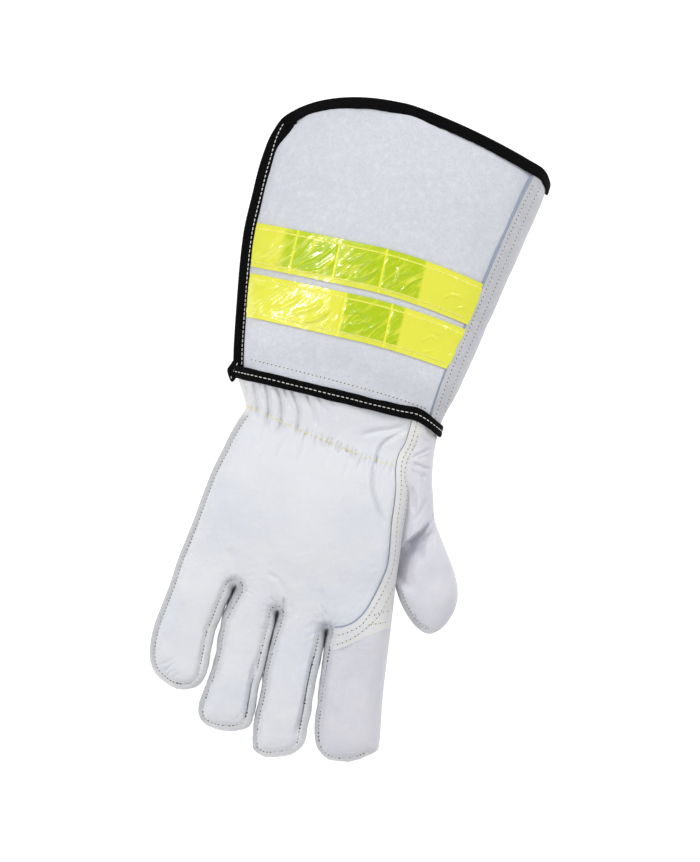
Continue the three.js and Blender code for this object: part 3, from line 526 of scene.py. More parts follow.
littleEdge = [(-70.4, 17), (-67.3, 10.3), (-64, 4.8), (-61.7, -0.6), (-62.8, -4.8), (-64.6, -9.6), (-67, -17.2),
              (-69.4, -27.2), (-72.5, -39.6), (-74.9, -55), (-76.9, -70.1), (-78.9, -82.3), (-80.9, -94.5),
              (-82.4, -110), (-84.7, -124.7), (-86.2, -136.8), (-85.5, -148.6), (-83.5, -155.8), (-79.8, -161.3),
              (-74.2, -164.9), (-68.2, -167.2)]
littleInner = [(-60.8, -167.1), (-54.8, -164.3), (-51.1, -158.4), (-50.5, -151.3), (-50.7, -140.8), (-50.9, -131),
               (-49.5, -123.5), (-48.4, -116), (-46.6, -108), (-46.0, -103.6)]
ringLeft = [(-45.2, -102.4), (-44.9, -103.6), (-46.0, -108), (-47.9, -116), (-48.9, -123), (-48.5, -131),
            (-47.9, -140.2), (-48.2, -152), (-49.9, -164.3), (-50.8, -173.4), (-49.8, -179.5), (-44.9, -184),
            (-35.1, -185.6)]
ringRight = [(-26.8, -184.1), (-20.3, -180.4), (-18.6, -171.9), (-18.8, -163.1), (-19.2, -155), (-18.4, -145.7),
             (-18.1, -134), (-18.1, -123), (-18.4, -116), (-19.0, -112.2)]
middleLeft = [(-18.3, -111.1), (-17.6, -112.2), (-17.8, -117), (-18.3, -124), (-18.6, -134), (-18.6, -146),
              (-17.8, -157), (-17.7, -166), (-17.9, -172), (-17.3, -180.5), (-16.3, -187.2), (-14.2, -192.4),
              (-9.3, -194.8), (-4, -194.6)]
middleRight = [(1.6, -193.1), (8.8, -189.2), (13.0, -183.4), (13.3, -174), (13.2, -162), (12.4, -150.4),
               (12.3, -138.8), (12.2, -128), (11.6, -119), (11.2, -116)]
indexLeft = [(11.8, -115), (12.3, -116), (12.2, -121), (12.8, -129), (13.7, -138.6), (14.7, -149.9),
             (15.9, -161.4), (17.2, -172.4), (19.2, -180.1), (23.6, -185.7), (30.6, -188.7), (37.6, -188.1),
             (44.2, -185.9), (49.4, -182.6)]
indexRight = [(53.4, -179.6), (55.7, -176.8), (55.6, -171.5), (54.7, -164.7), (52.1, -147.6), (49.6, -124.6),
              (47.9, -107.3), (46, -90.1), (44.5, -75), (43.4, -57), (42.7, -30), (43.5, -12), (46.5, 2),
              (48.6, 10), (49.5, 17)]

outlineKnots = [littleEdge, littleInner, ringLeft, ringRight, middleLeft, middleRight, indexLeft, indexRight]
fineStep = 0.1
fineOutline = spline(np.vstack(outlineKnots), fineStep)
crotchKnots = [(-45.2, -102.4), (-18.3, -111.1), (11.8, -115.0)]
tightTurns = [int(np.argmin(np.hypot(*(fineOutline - c).T))) for c in crotchKnots]
picked = [0]
while picked[-1] < len(fineOutline) - 1:  # closer points round the crotches
    away = min(abs(picked[-1] - k) for k in tightTurns) * fineStep
    picked.append(picked[-1] + int(round(10 * (0.25 + (hand["rimStep"] - 0.25) * smoothstep(away, 1.5, 7)))))
picked = picked[:-1] + [len(fineOutline) - 1]
outline = fineOutline[picked]
outlineAlong = np.array(picked) * fineStep


def outlineIndex(x, y):
    return int(np.argmin(np.hypot(outline[:, 0] - x, outline[:, 1] - y)))


inwards = sidewards(outline)
for _ in range(3):  # steadies the inward direction round the tight turns
    inwards[1:-1] = (inwards[:-2] + 2 * inwards[1:-1] + inwards[2:]) / 4
    inwards = unit(inwards)
inwards[0], inwards[-1] = (1, 0), (-1, 0)

littleTip = outlineIndex(-66, -166)
ringTip = outlineIndex(-33, -184.5)
middleTip = outlineIndex(-2, -193)
indexCorner = outlineIndex(51.5, -180.3)
indexLap = outlineIndex(47.9, -106.2)
crotchPinky, crotchRing, crotchIndex = (outlineIndex(*c) for c in ((-45.4, -102.3), (-18.3, -111), (11.8, -115)))


def wristY(x):
    return hand["wristEnd"] - 0.02 * (x + 10) - 6 * (np.maximum(0, (x - 30) / 20)) ** 2


def handTop(x, y):
    share = smoothstep(y, -118, -85)
    return curve(handHeights, y, 0) - hand["crownDrop"] * share * ((x - hand["crownX"]) / hand["crownHalf"]) ** 2


def insetBy(distance):
    ring = outline + inwards * np.reshape(distance, (-1, 1))
    ring[0, 1] = ring[-1, 1] = hand["wristEnd"]
    return ring


# how far inside the silhouette the seam runs: at the start, in the middle and at the end of each stretch
insetRows = [(3.5, 3.4, 3.6), (3.6, 4.4, 3.3), (4.8, 2.8, 3.8), (3.8, 4.2, 3.3),
             (3.4, 2.7, 3.6), (3.6, 4.3, 3.3), (3.6, 2.5, 3.8), (2.6, 3.7, 3.7)]
starts = [outlineAlong[outlineIndex(*k[0])] for k in outlineKnots] + [outlineAlong[-1]]
rowsAt = np.concatenate([[a, mix(a, b, 0.3), mix(a, b, 0.7)] for a, b in zip(starts, starts[1:])] + [[starts[-1]]])
seamInset = np.interp(outlineAlong, rowsAt, np.concatenate([[a, b, b] for a, b, _ in insetRows] + [[3.7]]))
seamAngle = np.arccos(1 - seamInset / hand["edgeRound"])
seamLine = insetBy(seamInset)[:indexCorner + 1]  # every seam round the fingers, up to the index finger's corner

lapLine = spline([(15.9, -112.9), (21.2, -110.9), (26.6, -106.8), (31.2, -99.7), (34.4, -90), (36.8, -80.1),
                  (38.1, -71.6), (37.8, -66), (36.6, -57), (34.9, -46), (34, -35), (32.6, -25), (30.3, -15),
                  (30.6, -7), (32.6, 0), (33.3, 8), (33.6, 17)], 1.0)
indexSeam = spline([(16.2, -125.5), (20.5, -123.4), (25.5, -119.8), (31, -115.4), (37.6, -110.6), (44.1, -106.5)],
                   1.0)

# Folds: points along the valley, half width, depth
handFolds = [
    # pleats between the wrist binding and the shirring
    ([(-59.5, 16), (-57.5, 9), (-55, 2), (-54.5, -7)], 1.2, 2.0),
    ([(-56.5, 16), (-53.8, 8), (-51.5, 3)], 0.9, 1.1),
    ([(-53, 16), (-50, 8), (-48, 1), (-46.8, -12)], 1.2, 2.7),
    ([(-46.5, 16), (-43, 9), (-40.5, 2), (-39.6, -14)], 1.2, 2.7),
    ([(-42, 16), (-39, 10), (-36.5, 4)], 0.9, 1.1),
    ([(-37.5, 16), (-33.5, 9), (-30.5, 3), (-29.5, -9)], 1.1, 2.3),
    ([(-29, 16), (-25, 9.5), (-21.5, 4), (-19, -3)], 1.1, 1.6),
    ([(-22, 16), (-18.5, 11), (-15, 6)], 1.0, 0.9),
    ([(-14, 15), (-10, 9), (-8, 4)], 1.0, 0.5),
    ([(-64, 13), (-62, 7), (-60.5, 1)], 1.0, 0.9),
    ([(-66, 16), (-64.5, 10)], 0.9, 0.7),
    # below the shirring
    ([(-24.5, -1), (-23.5, -12), (-25, -26)], 1.8, 0.9),
    ([(-49, -9), (-50.5, -17), (-53, -24)], 1.4, 0.6),
    ([(-42, -9), (-43, -18), (-46, -30)], 1.8, 0.6),
    ([(-35, -10), (-36, -18), (-38.5, -26)], 1.2, 0.45),
    ([(-8, -12), (-8.5, -19), (-10, -27)], 1.2, 0.55),
    ([(3, -14), (3, -22), (1.5, -30)], 1.2, 0.5),
    ([(9, -15), (9.5, -22)], 1.1, 0.45),
    # the long S crease beside the band
    ([(29, 6), (23, 0), (19.4, -6), (18.4, -12), (18.3, -21), (20.6, -31), (25.5, -40), (31, -48), (34, -52)],
     1.05, 2.0),
    ([(22, -2), (20.2, -12), (20.5, -20)], 1.6, 0.5),
    ([(32.5, 12), (26, 7), (14, 2), (6, -2)], 1.7, 1.5),
    ([(33, 9), (27, 3), (22, -3)], 1.3, 1.1),
    # knuckles
    ([(-30, -90), (-21, -93), (-17, -98), (-15.3, -104)], 1.5, 0.7),
    ([(-15.4, -114), (-15, -107.5), (-16.2, -101.5)], 0.7, 1.6),
    ([(5.9, -101), (9, -105), (11, -110.5)], 0.7, 0.8),
    ([(3, -92), (6.5, -99), (9.5, -108)], 1.4, 0.8),
    ([(-1, -118), (3, -114), (8, -112.5)], 1.2, 0.3),
    ([(-1.5, -124), (3, -120), (8, -117)], 1.0, 0.22),
    ([(-24, -103), (-20.5, -106), (-15, -105)], 1.2, 0.6),
    ([(-27, -108), (-24, -109), (-20.5, -108.5)], 1.0, 0.5),
    ([(-54, -80), (-49, -88), (-46, -95)], 3.0, 0.6),
    # ring finger's right side
    ([(-24.6, -140), (-24.4, -152), (-23.6, -163), (-22.9, -172), (-25, -178)], 1.2, 1.9),
    ([(-29, -178.5), (-26, -173), (-25, -168)], 0.9, 0.5),
    # middle finger's right side
    ([(7.2, -126), (8.0, -145), (8.3, -160), (7.8, -172), (7.0, -182)], 1.2, 2.0),
    # puckers at the little finger's tip
    ([(-79.5, -151), (-76, -153.5)], 0.7, 0.5), ([(-78, -155), (-74, -153.5), (-70, -150)], 0.9, 0.6),
    ([(-75, -159.5), (-72, -156), (-70, -152)], 0.8, 0.8), ([(-72, -161), (-69.5, -156.5)], 0.7, 0.7),
    ([(-68, -162), (-66.5, -158)], 0.6, 0.6), ([(-81, -147), (-77.5, -148)], 0.6, 0.5),
    # ring fingertip
    ([(-31, -180.5), (-30, -176.5)], 0.6, 0.5), ([(-25.5, -178), (-27.5, -174.5)], 0.6, 0.6),
    ([(-22.5, -174), (-26, -171)], 0.6, 0.6), ([(-22, -168), (-25, -166)], 0.6, 0.5),
]
shirring = spline([(-61.5, 0.8), (-51.6, -1), (-38, -4.2), (-25, -7), (-10, -9.2), (0, -11), (8, -12.8),
                   (17, -13.4), (29.5, -14.6)], 0.5)
# short gathers across the shirring, 3 mm apart
for k in range(30):
    x = -57.5 + 3.05 * k + random.uniform(-0.5, 0.5)
    y = np.interp(x, shirring[:, 0], shirring[:, 1])
    lean = random.uniform(-0.3, 0.15)
    up, down = random.uniform(2, 4.5), random.uniform(3, 6.5)
    depth = 0.6 + 0.7 * math.exp(-((x + 4) / 24) ** 2)
    valley = [(x + lean * up + 0.6, y + up), (x, y), (x - lean * down, y - down)]
    handFolds.append((valley, random.uniform(0.5, 0.7), depth))
# wrinkles that fan out from the crotches
for cx, cy, turn in ((-43.5, -100.5, 20), (-18, -108.5, 0), (11.5, -112.5, -10)):
    for k in range(9):
        angle = math.radians(90 - turn + (k - 4) * 24 + random.uniform(-8, 8))
        reach = random.uniform(4, 10)
        a = np.array([cx + 2.2 * math.cos(angle), cy + 2.2 * math.sin(angle)])
        b = a + reach * np.array([math.cos(angle + 0.15), math.sin(angle + 0.15)])
        valley = [a, (a + b) / 2 + random.uniform(-0.4, 0.4, 2), b]
        handFolds.append((valley, random.uniform(0.45, 0.7), random.uniform(0.15, 0.4)))
# puckers along the finger seams
for k in range(8, len(seamLine) - 8, 4):
    if random.uniform() < 0.6:
        inner = seamLine[k] + inwards[k] * random.uniform(1.6, 3.6) + random.uniform(-0.8, 0.8, 2)
        handFolds.append(([seamLine[k], inner], random.uniform(0.5, 0.8), random.uniform(0.15, 0.5)))


def foldRelief(xy, folds):
    dz = np.zeros(len(xy))
    for path, width, depth in folds:
        line = spline(path, 0.5)
        reach = width * 4
        near = np.where(np.all((xy > line.min(0) - reach) & (xy < line.max(0) + reach), axis=1))[0]
        if not len(near):
            continue
        distance, share, _ = nearestOn(line, xy[near])
        taper = 0.12 + 0.88 * smoothstep(share, 0, 0.22) * smoothstep(1 - share, 0, 0.22)
        valley = np.exp(-(distance / width) ** 2)
        shoulder = np.exp(-((distance - 2.1 * width) / (1.1 * width)) ** 2)
        dz[near] += depth * taper * (0.13 * shoulder - valley)
    return dz


seamLength = np.linalg.norm(np.diff(seamLine, axis=0), axis=1).sum()


def seamGroove(xy):
    distance, share, side = nearestOn(seamLine, xy)
    wave = 1 + 0.3 * ripple(xy[:, 0], xy[:, 1], 9, 21)
    gathers = np.sin(share * seamLength * 2 * pi / 2.2) * (0.26 + 0.12 * ripple(xy[:, 0], xy[:, 1], 6, 23))
    groove = -hand["grooveDepth"] * wave * np.exp(-(distance / hand["grooveWidth"]) ** 2)
    swell = 1 + 0.5 * ripple(xy[:, 0], xy[:, 1], 4.5, 22)
    calm = 1 - 0.5 * smoothstep(-xy[:, 1], 148, 172)  # the fingertips lie flatter
    bead = np.where(side > 0, 0.42, 0.2) * swell * np.exp(-((distance - 2.6) / 1.5) ** 2)
    return calm * (groove + gathers * np.exp(-(distance / 2.3) ** 2) + bead)


def handRelief(xy):
    x, y = xy[:, 0], xy[:, 1]
    # the back is full right up to the crotches
    stuffed = sum(np.exp(-(np.hypot(x - cx, y - cy - 1) / 4.6) ** 2) for cx, cy in crotchKnots)
    swell = 0.5 * ripple(x, y, 26, 11) * smoothstep(y, -190, -150)
    swell = swell + 0.17 * ripple(x, y, 9, 12) + 0.06 * ripple(x, y, 3.2, 13)
    return swell + 1.9 * stuffed + foldRelief(xy, handFolds) + seamGroove(xy)


def warpWrist(points):  # the wrist end follows the slanting binding
    share = smoothstep(points[:, 1], -12, hand["wristEnd"])
    points[:, 1] += (wristY(points[:, 0]) - hand["wristEnd"]) * share
    return points


outlineTree = pointTree(resample(outline, 0.25))


def insetOf(xy):
    return np.array([outlineTree.find((x, y, 0))[2] for x, y in xy])


def topPoints(xy, share):
    middle = curve(handHeights, xy[:, 1], 1)
    z = middle + (handTop(xy[:, 0], xy[:, 1]) - middle) * share
    return np.column_stack([xy, z])


def bottomPoints(xy, share):
    middle = curve(handHeights, xy[:, 1], 1)
    lift = curve(handHeights, xy[:, 1], 2)
    return np.column_stack([xy, middle - (middle - lift) * share])


# share of the seam's angle, from the top seam to the bottom one
rimSteps = np.concatenate([np.linspace(1, 0.3, 8), [0.15, 0, -0.15], np.linspace(-0.35, -1, 6)])
# the crotches of the fourchettes slope: their webs run further down the finger gaps towards the palm
webs = [(crotchPinky, 15.0), (crotchRing, 12.0), (crotchIndex, 14.0)]


def rimGrid(first, last):
    rows = []
    for step in rimSteps:
        ring = insetBy(hand["edgeRound"] * (1 - np.cos(step * seamAngle)))
        for centre, drop in webs:
            away = np.abs(outlineAlong - outlineAlong[centre])
            ring[:, 1] -= drop * max(0, -step) * np.exp(-(away / 7.5) ** 2)
        share = np.abs(np.sin(step * seamAngle))
        rows.append((topPoints if step >= 0 else bottomPoints)(ring, share)[first:last + 1])
    return np.array(rows)


def outOf(inward):  # the outward side of a rim, for each row of its grid
    return np.tile(np.pad(-inward, ((0, 0), (0, 1))), (len(rimSteps), 1))


def rimSurface(first, last):
    return gridSurface(rimGrid(first, last), outOf(inwards[first:last + 1]))


def fieldOf(loop, onTop, extra=None, spacing=hand["step"]):  # fills a loop, which keeps the heights it has
    points, faces, source = fillLoop(loop[:, :2], spacing, extra)
    share = rounded(insetOf(points), hand["edgeRound"])
    placed = (topPoints if onTop else bottomPoints)(points, share)
    own = (source >= 0) & (source < len(loop))
    if loop.shape[1] == 3:
        known = ~np.isnan(loop[:, 2])
        use = own.copy()
        use[own] = known[source[own]]
        placed[use] = loop[source[use]]
    return placed, facing(placed, faces, (0, 0, 1 if onTop else -1))


def flat(points):  # a loop point whose height is left to the field
    return np.column_stack([points, np.full(len(points), np.nan)])


fieldRing = topPoints(insetBy(seamInset), np.sin(seamAngle))


def crotchCorner(span, target):  # the ring's point past the index crotch that lies nearest
    near = fieldRing[crotchIndex:crotchIndex + span, :2]
    return int(np.argmin(np.hypot(*(near - target).T))) + crotchIndex


# back panel: seam ring from the wrist to the index crotch, then under the band's lap edge to the wrist
lapStart = crotchCorner(14, lapLine[0])
lapTuck = 2.6
tucked = lapLine - sidewards(lapLine) * lapTuck
tucked = tucked[tucked[:, 1] > lapLine[0, 1] + 1.5][:-1]
wristRight = np.array([lapLine[-1, 0] + lapTuck, hand["wristEnd"]])
wristEdge = resample([wristRight, fieldRing[0, :2]], 1.2)
points, faces = weld([fieldOf(np.vstack([fieldRing[:lapStart + 1], flat(tucked), flat(wristEdge[:-1])]), True)])
xy = points[:, :2].copy()
points[:, 2] += handRelief(xy)
distance, _, side = nearestOn(lapLine, xy)
nearLap = np.where(np.abs(side) <= distance * 1.3 + 0.2, distance, 99)
points[:, 2] -= 0.3 * np.exp(-(nearLap / 1.3) ** 2) + 1.0 * smoothstep(-side, 0.6, 2.4) * (distance < 6)
handBackSurface = (warpWrist(points), faces)
sheetPiece("hand_back_panel", handBackSurface, hand["wall"], [backLeather, fleshSide, rawEdge], "grain_leather",
           "hand_back")


# index back: field over the finger, wrapped round its right side
indexStart = crotchCorner(30, indexSeam[0])
field = np.vstack([fieldRing[indexStart:indexLap + 1], flat(indexSeam[::-1][1:-1])])
points, faces = weld([fieldOf(field, True), rimSurface(indexCorner, indexLap)])
xy = points[:, :2].copy()
middle = curve(handHeights, xy[:, 1], 1)
weight = smoothstep(points[:, 2], middle, middle + 6)
indexFolds = [([(20, -150), (20.5, -165), (22, -175)], 2.0, 0.35), ([(44, -125), (45.5, -140), (47, -155)], 2.2, 0.4),
              ([(38, -120), (40, -135), (41, -150)], 2.4, 0.35), ([(30, -135), (31, -150), (32, -165)], 2.8, 0.3),
              ([(24, -122), (23, -135)], 1.8, 0.3)]
points[:, 2] += (handRelief(xy) + foldRelief(xy, indexFolds)) * weight
indexSurface = (points, faces)
sheetPiece("index_back_panel", indexSurface, hand["wall"], [indexLeather, fleshSide, rawEdge], "grain_leather",
           "index_back")

# fourchettes between the fingers
fourchettes = [("fourchette_pinky_ring", littleTip, ringTip), ("fourchette_ring_middle", ringTip, middleTip),
               ("fourchette_middle_index", middleTip, indexCorner)]
rimSurfaces = []
for name, first, last in fourchettes:
    points, faces = rimSurface(first, last)
    x, y, z = points.T
    middle = curve(handHeights, y, 1)
    weight = smoothstep(z, middle, middle + 5)
    bulge = 0.22 * ripple(x + z, y, 7, 31) + 0.15 * ripple(x, y + z, 2.8, 32)
    bulge = bulge * (1 - np.abs(np.repeat(rimSteps, last - first + 1)) * 0.7)
    groove = seamGroove(points[:, :2]) * weight
    points = points + normalsOf(points, faces) * bulge[:, None]
    points[:, 2] += groove
    rimSurfaces.append((points, faces))
    aside = np.tile(inwards[first:last + 1, 0], len(rimSteps))  # the rims that face the little finger get painted shade, flecked with grime
    shadeAndGrime = smoothstep(aside, 0.1, 0.8) * smoothstep(points[:, 2], middle - 4, middle + 3)
    sheetPiece(name + "_strip", rimSurfaces[-1], hand["wall"], [fourchetteLeather, fleshSide, rawEdge],
               "grain_leather", name, shadeAndGrime)

# palm: bottom field, little-finger wrap, thumb-side wrap and the band lapped over the back
bottomRing = rimGrid(0, len(outline) - 1)[-1]
bottomEdge = resample([bottomRing[-1, :2], bottomRing[0, :2]], 1.8)[1:-1]
bottom = fieldOf(np.vstack([bottomRing, flat(bottomEdge)]), False, spacing=2.0)
wrapParts = [rimSurface(0, littleTip), rimSurface(indexLap, len(outline) - 1)]
lapBevel = hand["lapBevel"] * mix(0.7, 2.0, smoothstep(-lapLine[:, 1:2], 50, 75))
lapEdge = lapLine + sidewards(lapLine) * lapBevel
lapInner = lapLine - sidewards(lapLine) * 0.15
indexEdge = indexSeam - sidewards(indexSeam) * 0.9
ringBack = fieldRing[lapStart + 1:indexStart]
wristBit = resample([[fieldRing[-1, 0], hand["wristEnd"]], lapEdge[-1]], 1.2)[1:-1]
loop = np.vstack([fieldRing[indexLap:], flat(wristBit), flat(lapEdge[::-1]), ringBack, flat(indexEdge[1:-1])])
band = fieldOf(loop, True, extra=np.vstack([lapLine[2:-1], lapInner[2:-1]]))
points, faces = weld([bottom, *wrapParts, band])
xy = points[:, :2].copy()
middle = curve(handHeights, xy[:, 1], 1)
weight = smoothstep(points[:, 2], middle, middle + 6)
distance, share, side = nearestOn(lapLine, xy)
inBand = (points[:, 2] > middle + 1) & (xy[:, 0] > 10)
bevelWidth = np.interp(share, np.linspace(0, 1, len(lapBevel)), lapBevel[:, 0])
lift = hand["lapLift"] * np.clip(1 - side / bevelWidth, 0, 1) * np.exp(-(distance / 9) ** 2)
lift = lift * mix(0.6, 1.25, smoothstep(-xy[:, 1], 44, 70))
seamDistance, _, _ = nearestOn(indexSeam, xy)
lift = np.where(inBand, lift + 0.1 * np.exp(-(seamDistance / 2) ** 2), 0)
points[:, 2] += handRelief(xy) * np.where(inBand, weight * 0.6, weight) + lift
# the palm side: soft swells, finger creases and the heel of the hand
palmFolds = [([(-78, -112), (-65, -108), (-52, -110)], 2.4, 1.0), ([(-47, -118), (-34, -116), (-21, -118)], 2.4, 1.0),
             ([(-16, -124), (-3, -122), (10, -124)], 2.4, 1.0), ([(15, -122), (30, -118), (44, -120)], 2.4, 1.0),
             ([(38, -84), (15, -76), (-20, -74), (-60, -84)], 3.0, 1.2),
             ([(36, -60), (10, -52), (-30, -55)], 3.0, 1.0),
             ([(26, -70), (6, -50), (0, -20), (6, 0)], 3.2, 1.2)]
isUnder = points[:, 2] < middle - 1
swell = 0.5 + 0.5 * ripple(xy[:, 0], xy[:, 1], 22, 41) + 0.12 * ripple(xy[:, 0], xy[:, 1], 6, 42)
creases = foldRelief(xy, palmFolds) * smoothstep(insetOf(xy), 2, 8)
points[:, 2] += np.where(isUnder, np.maximum(swell, 0) - creases, 0)
centres = points[faces].mean(axis=1)
_, _, faceSide = nearestOn(lapLine, centres)
bevel = (faceSide > 0.02) & (centres[:, 2] > 18) & (centres[:, 0] > 14) & (centres[:, 1] > -113)
palmSurface = (warpWrist(points), faces)
x, y, z = points.T
# painted shade, flecked with grime, on the little finger's rim, which turns from the light
shadeAndGrime = (x < -40) * smoothstep(z, 6, 14) * smoothstep(-y, 1, 9) * (1 - smoothstep(-y, 150, 166))
lapShadowKinds = np.where(centres[bevel, 1] > -48, 3, 2)  # the cut edge beside the wrist is painted darker: painted shadow of the lapped edge
sheetPiece("palm_panel", palmSurface, hand["wall"], [palmLeather, fleshSide, rawEdge, lapEdgeShadow], "grain_leather",
           "palm", shadeAndGrime, bevel, lapShadowKinds)


thumb = {"step": 1.0, "edgeRound": 12.0, "seamInset": 3.7, "wall": 1.4, "join": 6.5}
thumbAngle = math.acos(1 - thumb["seamInset"] / thumb["edgeRound"])
# the wing thumb joins the palm leather under the band's outer stitch row; its free edge starts at the hand's side
thumbJoin = spline([(39.9, 12.2), (39.4, 8), (38.6, 0), (36.2, -9), (37, -19), (40.2, -28), (41.6, -38),
                    (42.4, -50), (43, -57)], 1.2)
thumbFree = spline([(42.6, -60.5), (42.0, -68), (42.6, -76), (45.9, -84), (51, -92.2), (57.5, -99.3), (63.5, -103.7),
                    (69.8, -105.3), (75.8, -101.4), (80.2, -93.4), (81.9, -85), (80.8, -76.7), (76.2, -66.4),
                    (69.3, -55.9), (63.3, -47.1), (58.7, -39.2), (55.7, -28.8), (52.6, -18), (50.9, -8), (50.2, 0),
                    (49.9, 7.5)], thumb["step"])
thumbInwards = sidewards(thumbFree)
thumbInwards[-1] = (-1, 0)
thumbTip = int(np.argmin(np.hypot(thumbFree[:, 0] - 69, thumbFree[:, 1] + 104.5)))
# beside the hand the thumb dives under the index finger's edge, so it has no rounded rim there
diveRound = 2 + (thumb["edgeRound"] - 2) * smoothstep(-thumbFree[:, 1], 78, 92)
thumbRound = np.where(np.arange(len(thumbFree)) < thumbTip, diveRound, thumb["edgeRound"])
thumbPocket = spline([(57.5, -41), (53, -49.5), (48, -56), (44, -61), (42.6, -68), (42.8, -76), (45.5, -83)], 1.0)
thumbHeights = [(-105, 20, 12), (-80, 24, 12.2), (-50, 26.5, 13.2), (-20, 28.2, 14.6), (8, 29.2, 15)]
thumbFolds = [
    ([(39, 6), (44, 3), (50, 5)], 0.9, 1.0), ([(37, -8.5), (42, -5), (49.5, 1.5)], 0.9, 1.7),
    ([(37, -9.5), (42, -7.5), (48, -4)], 0.8, 1.1),
    ([(37, -10.5), (43, -11.5), (50.5, -12.5)], 1.0, 1.7), ([(39, -14), (44, -16.5), (49, -17)], 0.9, 0.8),
    ([(41, -23), (44.5, -30), (46.5, -39)], 1.2, 1.8),
    ([(58.5, -31), (56.7, -39.8), (52.2, -50), (44.9, -59.5)], 1.05, 3.0),
    ([(60.5, -34), (58.6, -42), (54.5, -51)], 1.3, -0.9), ([(60.8, -44), (60, -51), (58.8, -59)], 1.0, 1.2),
    ([(59, -40), (58, -47), (54, -56)], 1.2, 2.0), ([(53, -56), (57, -66), (58, -76)], 2.4, 0.6),
    ([(52, -27), (50, -36), (46, -46)], 1.1, 1.0),
    ([(46, -14), (48, -20), (52, -25)], 1.2, 1.0), ([(61, -90), (64, -78), (68, -66)], 5, 0.5),
    ([(50.5, -90), (52.5, -87.5)], 0.7, 0.9), ([(54.5, -94.5), (56.4, -91.5)], 0.7, 0.9),
    ([(58.5, -98.5), (60.2, -95.2)], 0.7, 0.9),
    ([(48.2, -85), (50.6, -83.2)], 0.7, 0.9), ([(49.5, -72), (53, -74)], 0.8, 0.7),
    ([(49, -77), (52.5, -80)], 0.8, 0.8),
]
thumbFine = resample(thumbFree, 0.25)
thumbTree = pointTree(thumbFine)


def treeOf(surfaces):
    return [BVHTree.FromPolygons([tuple(p) for p in points], [tuple(f) for f in faces]) for points, faces in surfaces]


def dropOn(trees, xy, height=90.0):  # the highest surface point under each plan point, with its normal
    found = []
    for x, y in xy:
        best = None
        for tree in trees:
            hit, normal, _, _ = tree.ray_cast(Vector((x, y, height)), Vector((0, 0, -1)))
            if hit is not None and (best is None or hit.z > best[0].z):
                best = (hit, normal)
        found.append(best)
    return found


joinHeights = np.array([h[0].z if h else 20.0 for h in dropOn(treeOf([palmSurface]), thumbJoin)])
joinHeights[thumbJoin[:, 1] < -28] = np.minimum(joinHeights[thumbJoin[:, 1] < -28], 26)
joinHeights = np.convolve(np.pad(joinHeights, 3, "edge"), np.ones(7) / 7, "valid")


def thumbPoints(xy, share, side):
    level, middle = curve(thumbHeights, xy[:, 1], 0), curve(thumbHeights, xy[:, 1], 1)
    distance, along, over = nearestOn(thumbPocket, xy)
    reach = mix(3.0, 13.5, smoothstep(over, -1.5, 1.5))
    deep = (1 - smoothstep(distance, 0, reach)) * smoothstep(along, 0.02, 0.5)
    deep = deep * (1 - 0.97 * smoothstep(-xy[:, 1], 74, 87))
    middle = mix(middle, 6.0, deep)
    level = mix(level, 8.0, deep)
    floor = 2.2 * smoothstep(xy[:, 1], -25, 0)
    z = middle + (level - middle) * share if side > 0 else middle - (middle - floor) * share
    if side > 0:
        distance, along, _ = nearestOn(thumbJoin, xy)
        joinZ = np.interp(along, np.linspace(0, 1, len(joinHeights)), joinHeights) + 0.15
        z = mix(joinZ, z, smoothstep(distance, -1.0, thumb["join"]))
    return np.column_stack([xy, z])


def thumbRing(angle, side):
    ring = thumbFree + thumbInwards * thumbRound[:, None] * (1 - math.cos(angle))
    return thumbPoints(ring, np.full(len(ring), abs(math.sin(angle))), side)


def thumbShare(xy):
    found = [thumbTree.find((x, y, 0)) for x, y in xy]
    at = np.array([f[1] for f in found]) / (len(thumbFine) - 1) * (len(thumbFree) - 1)
    return rounded(np.array([f[2] for f in found]), np.interp(at, np.arange(len(thumbFree)), thumbRound))


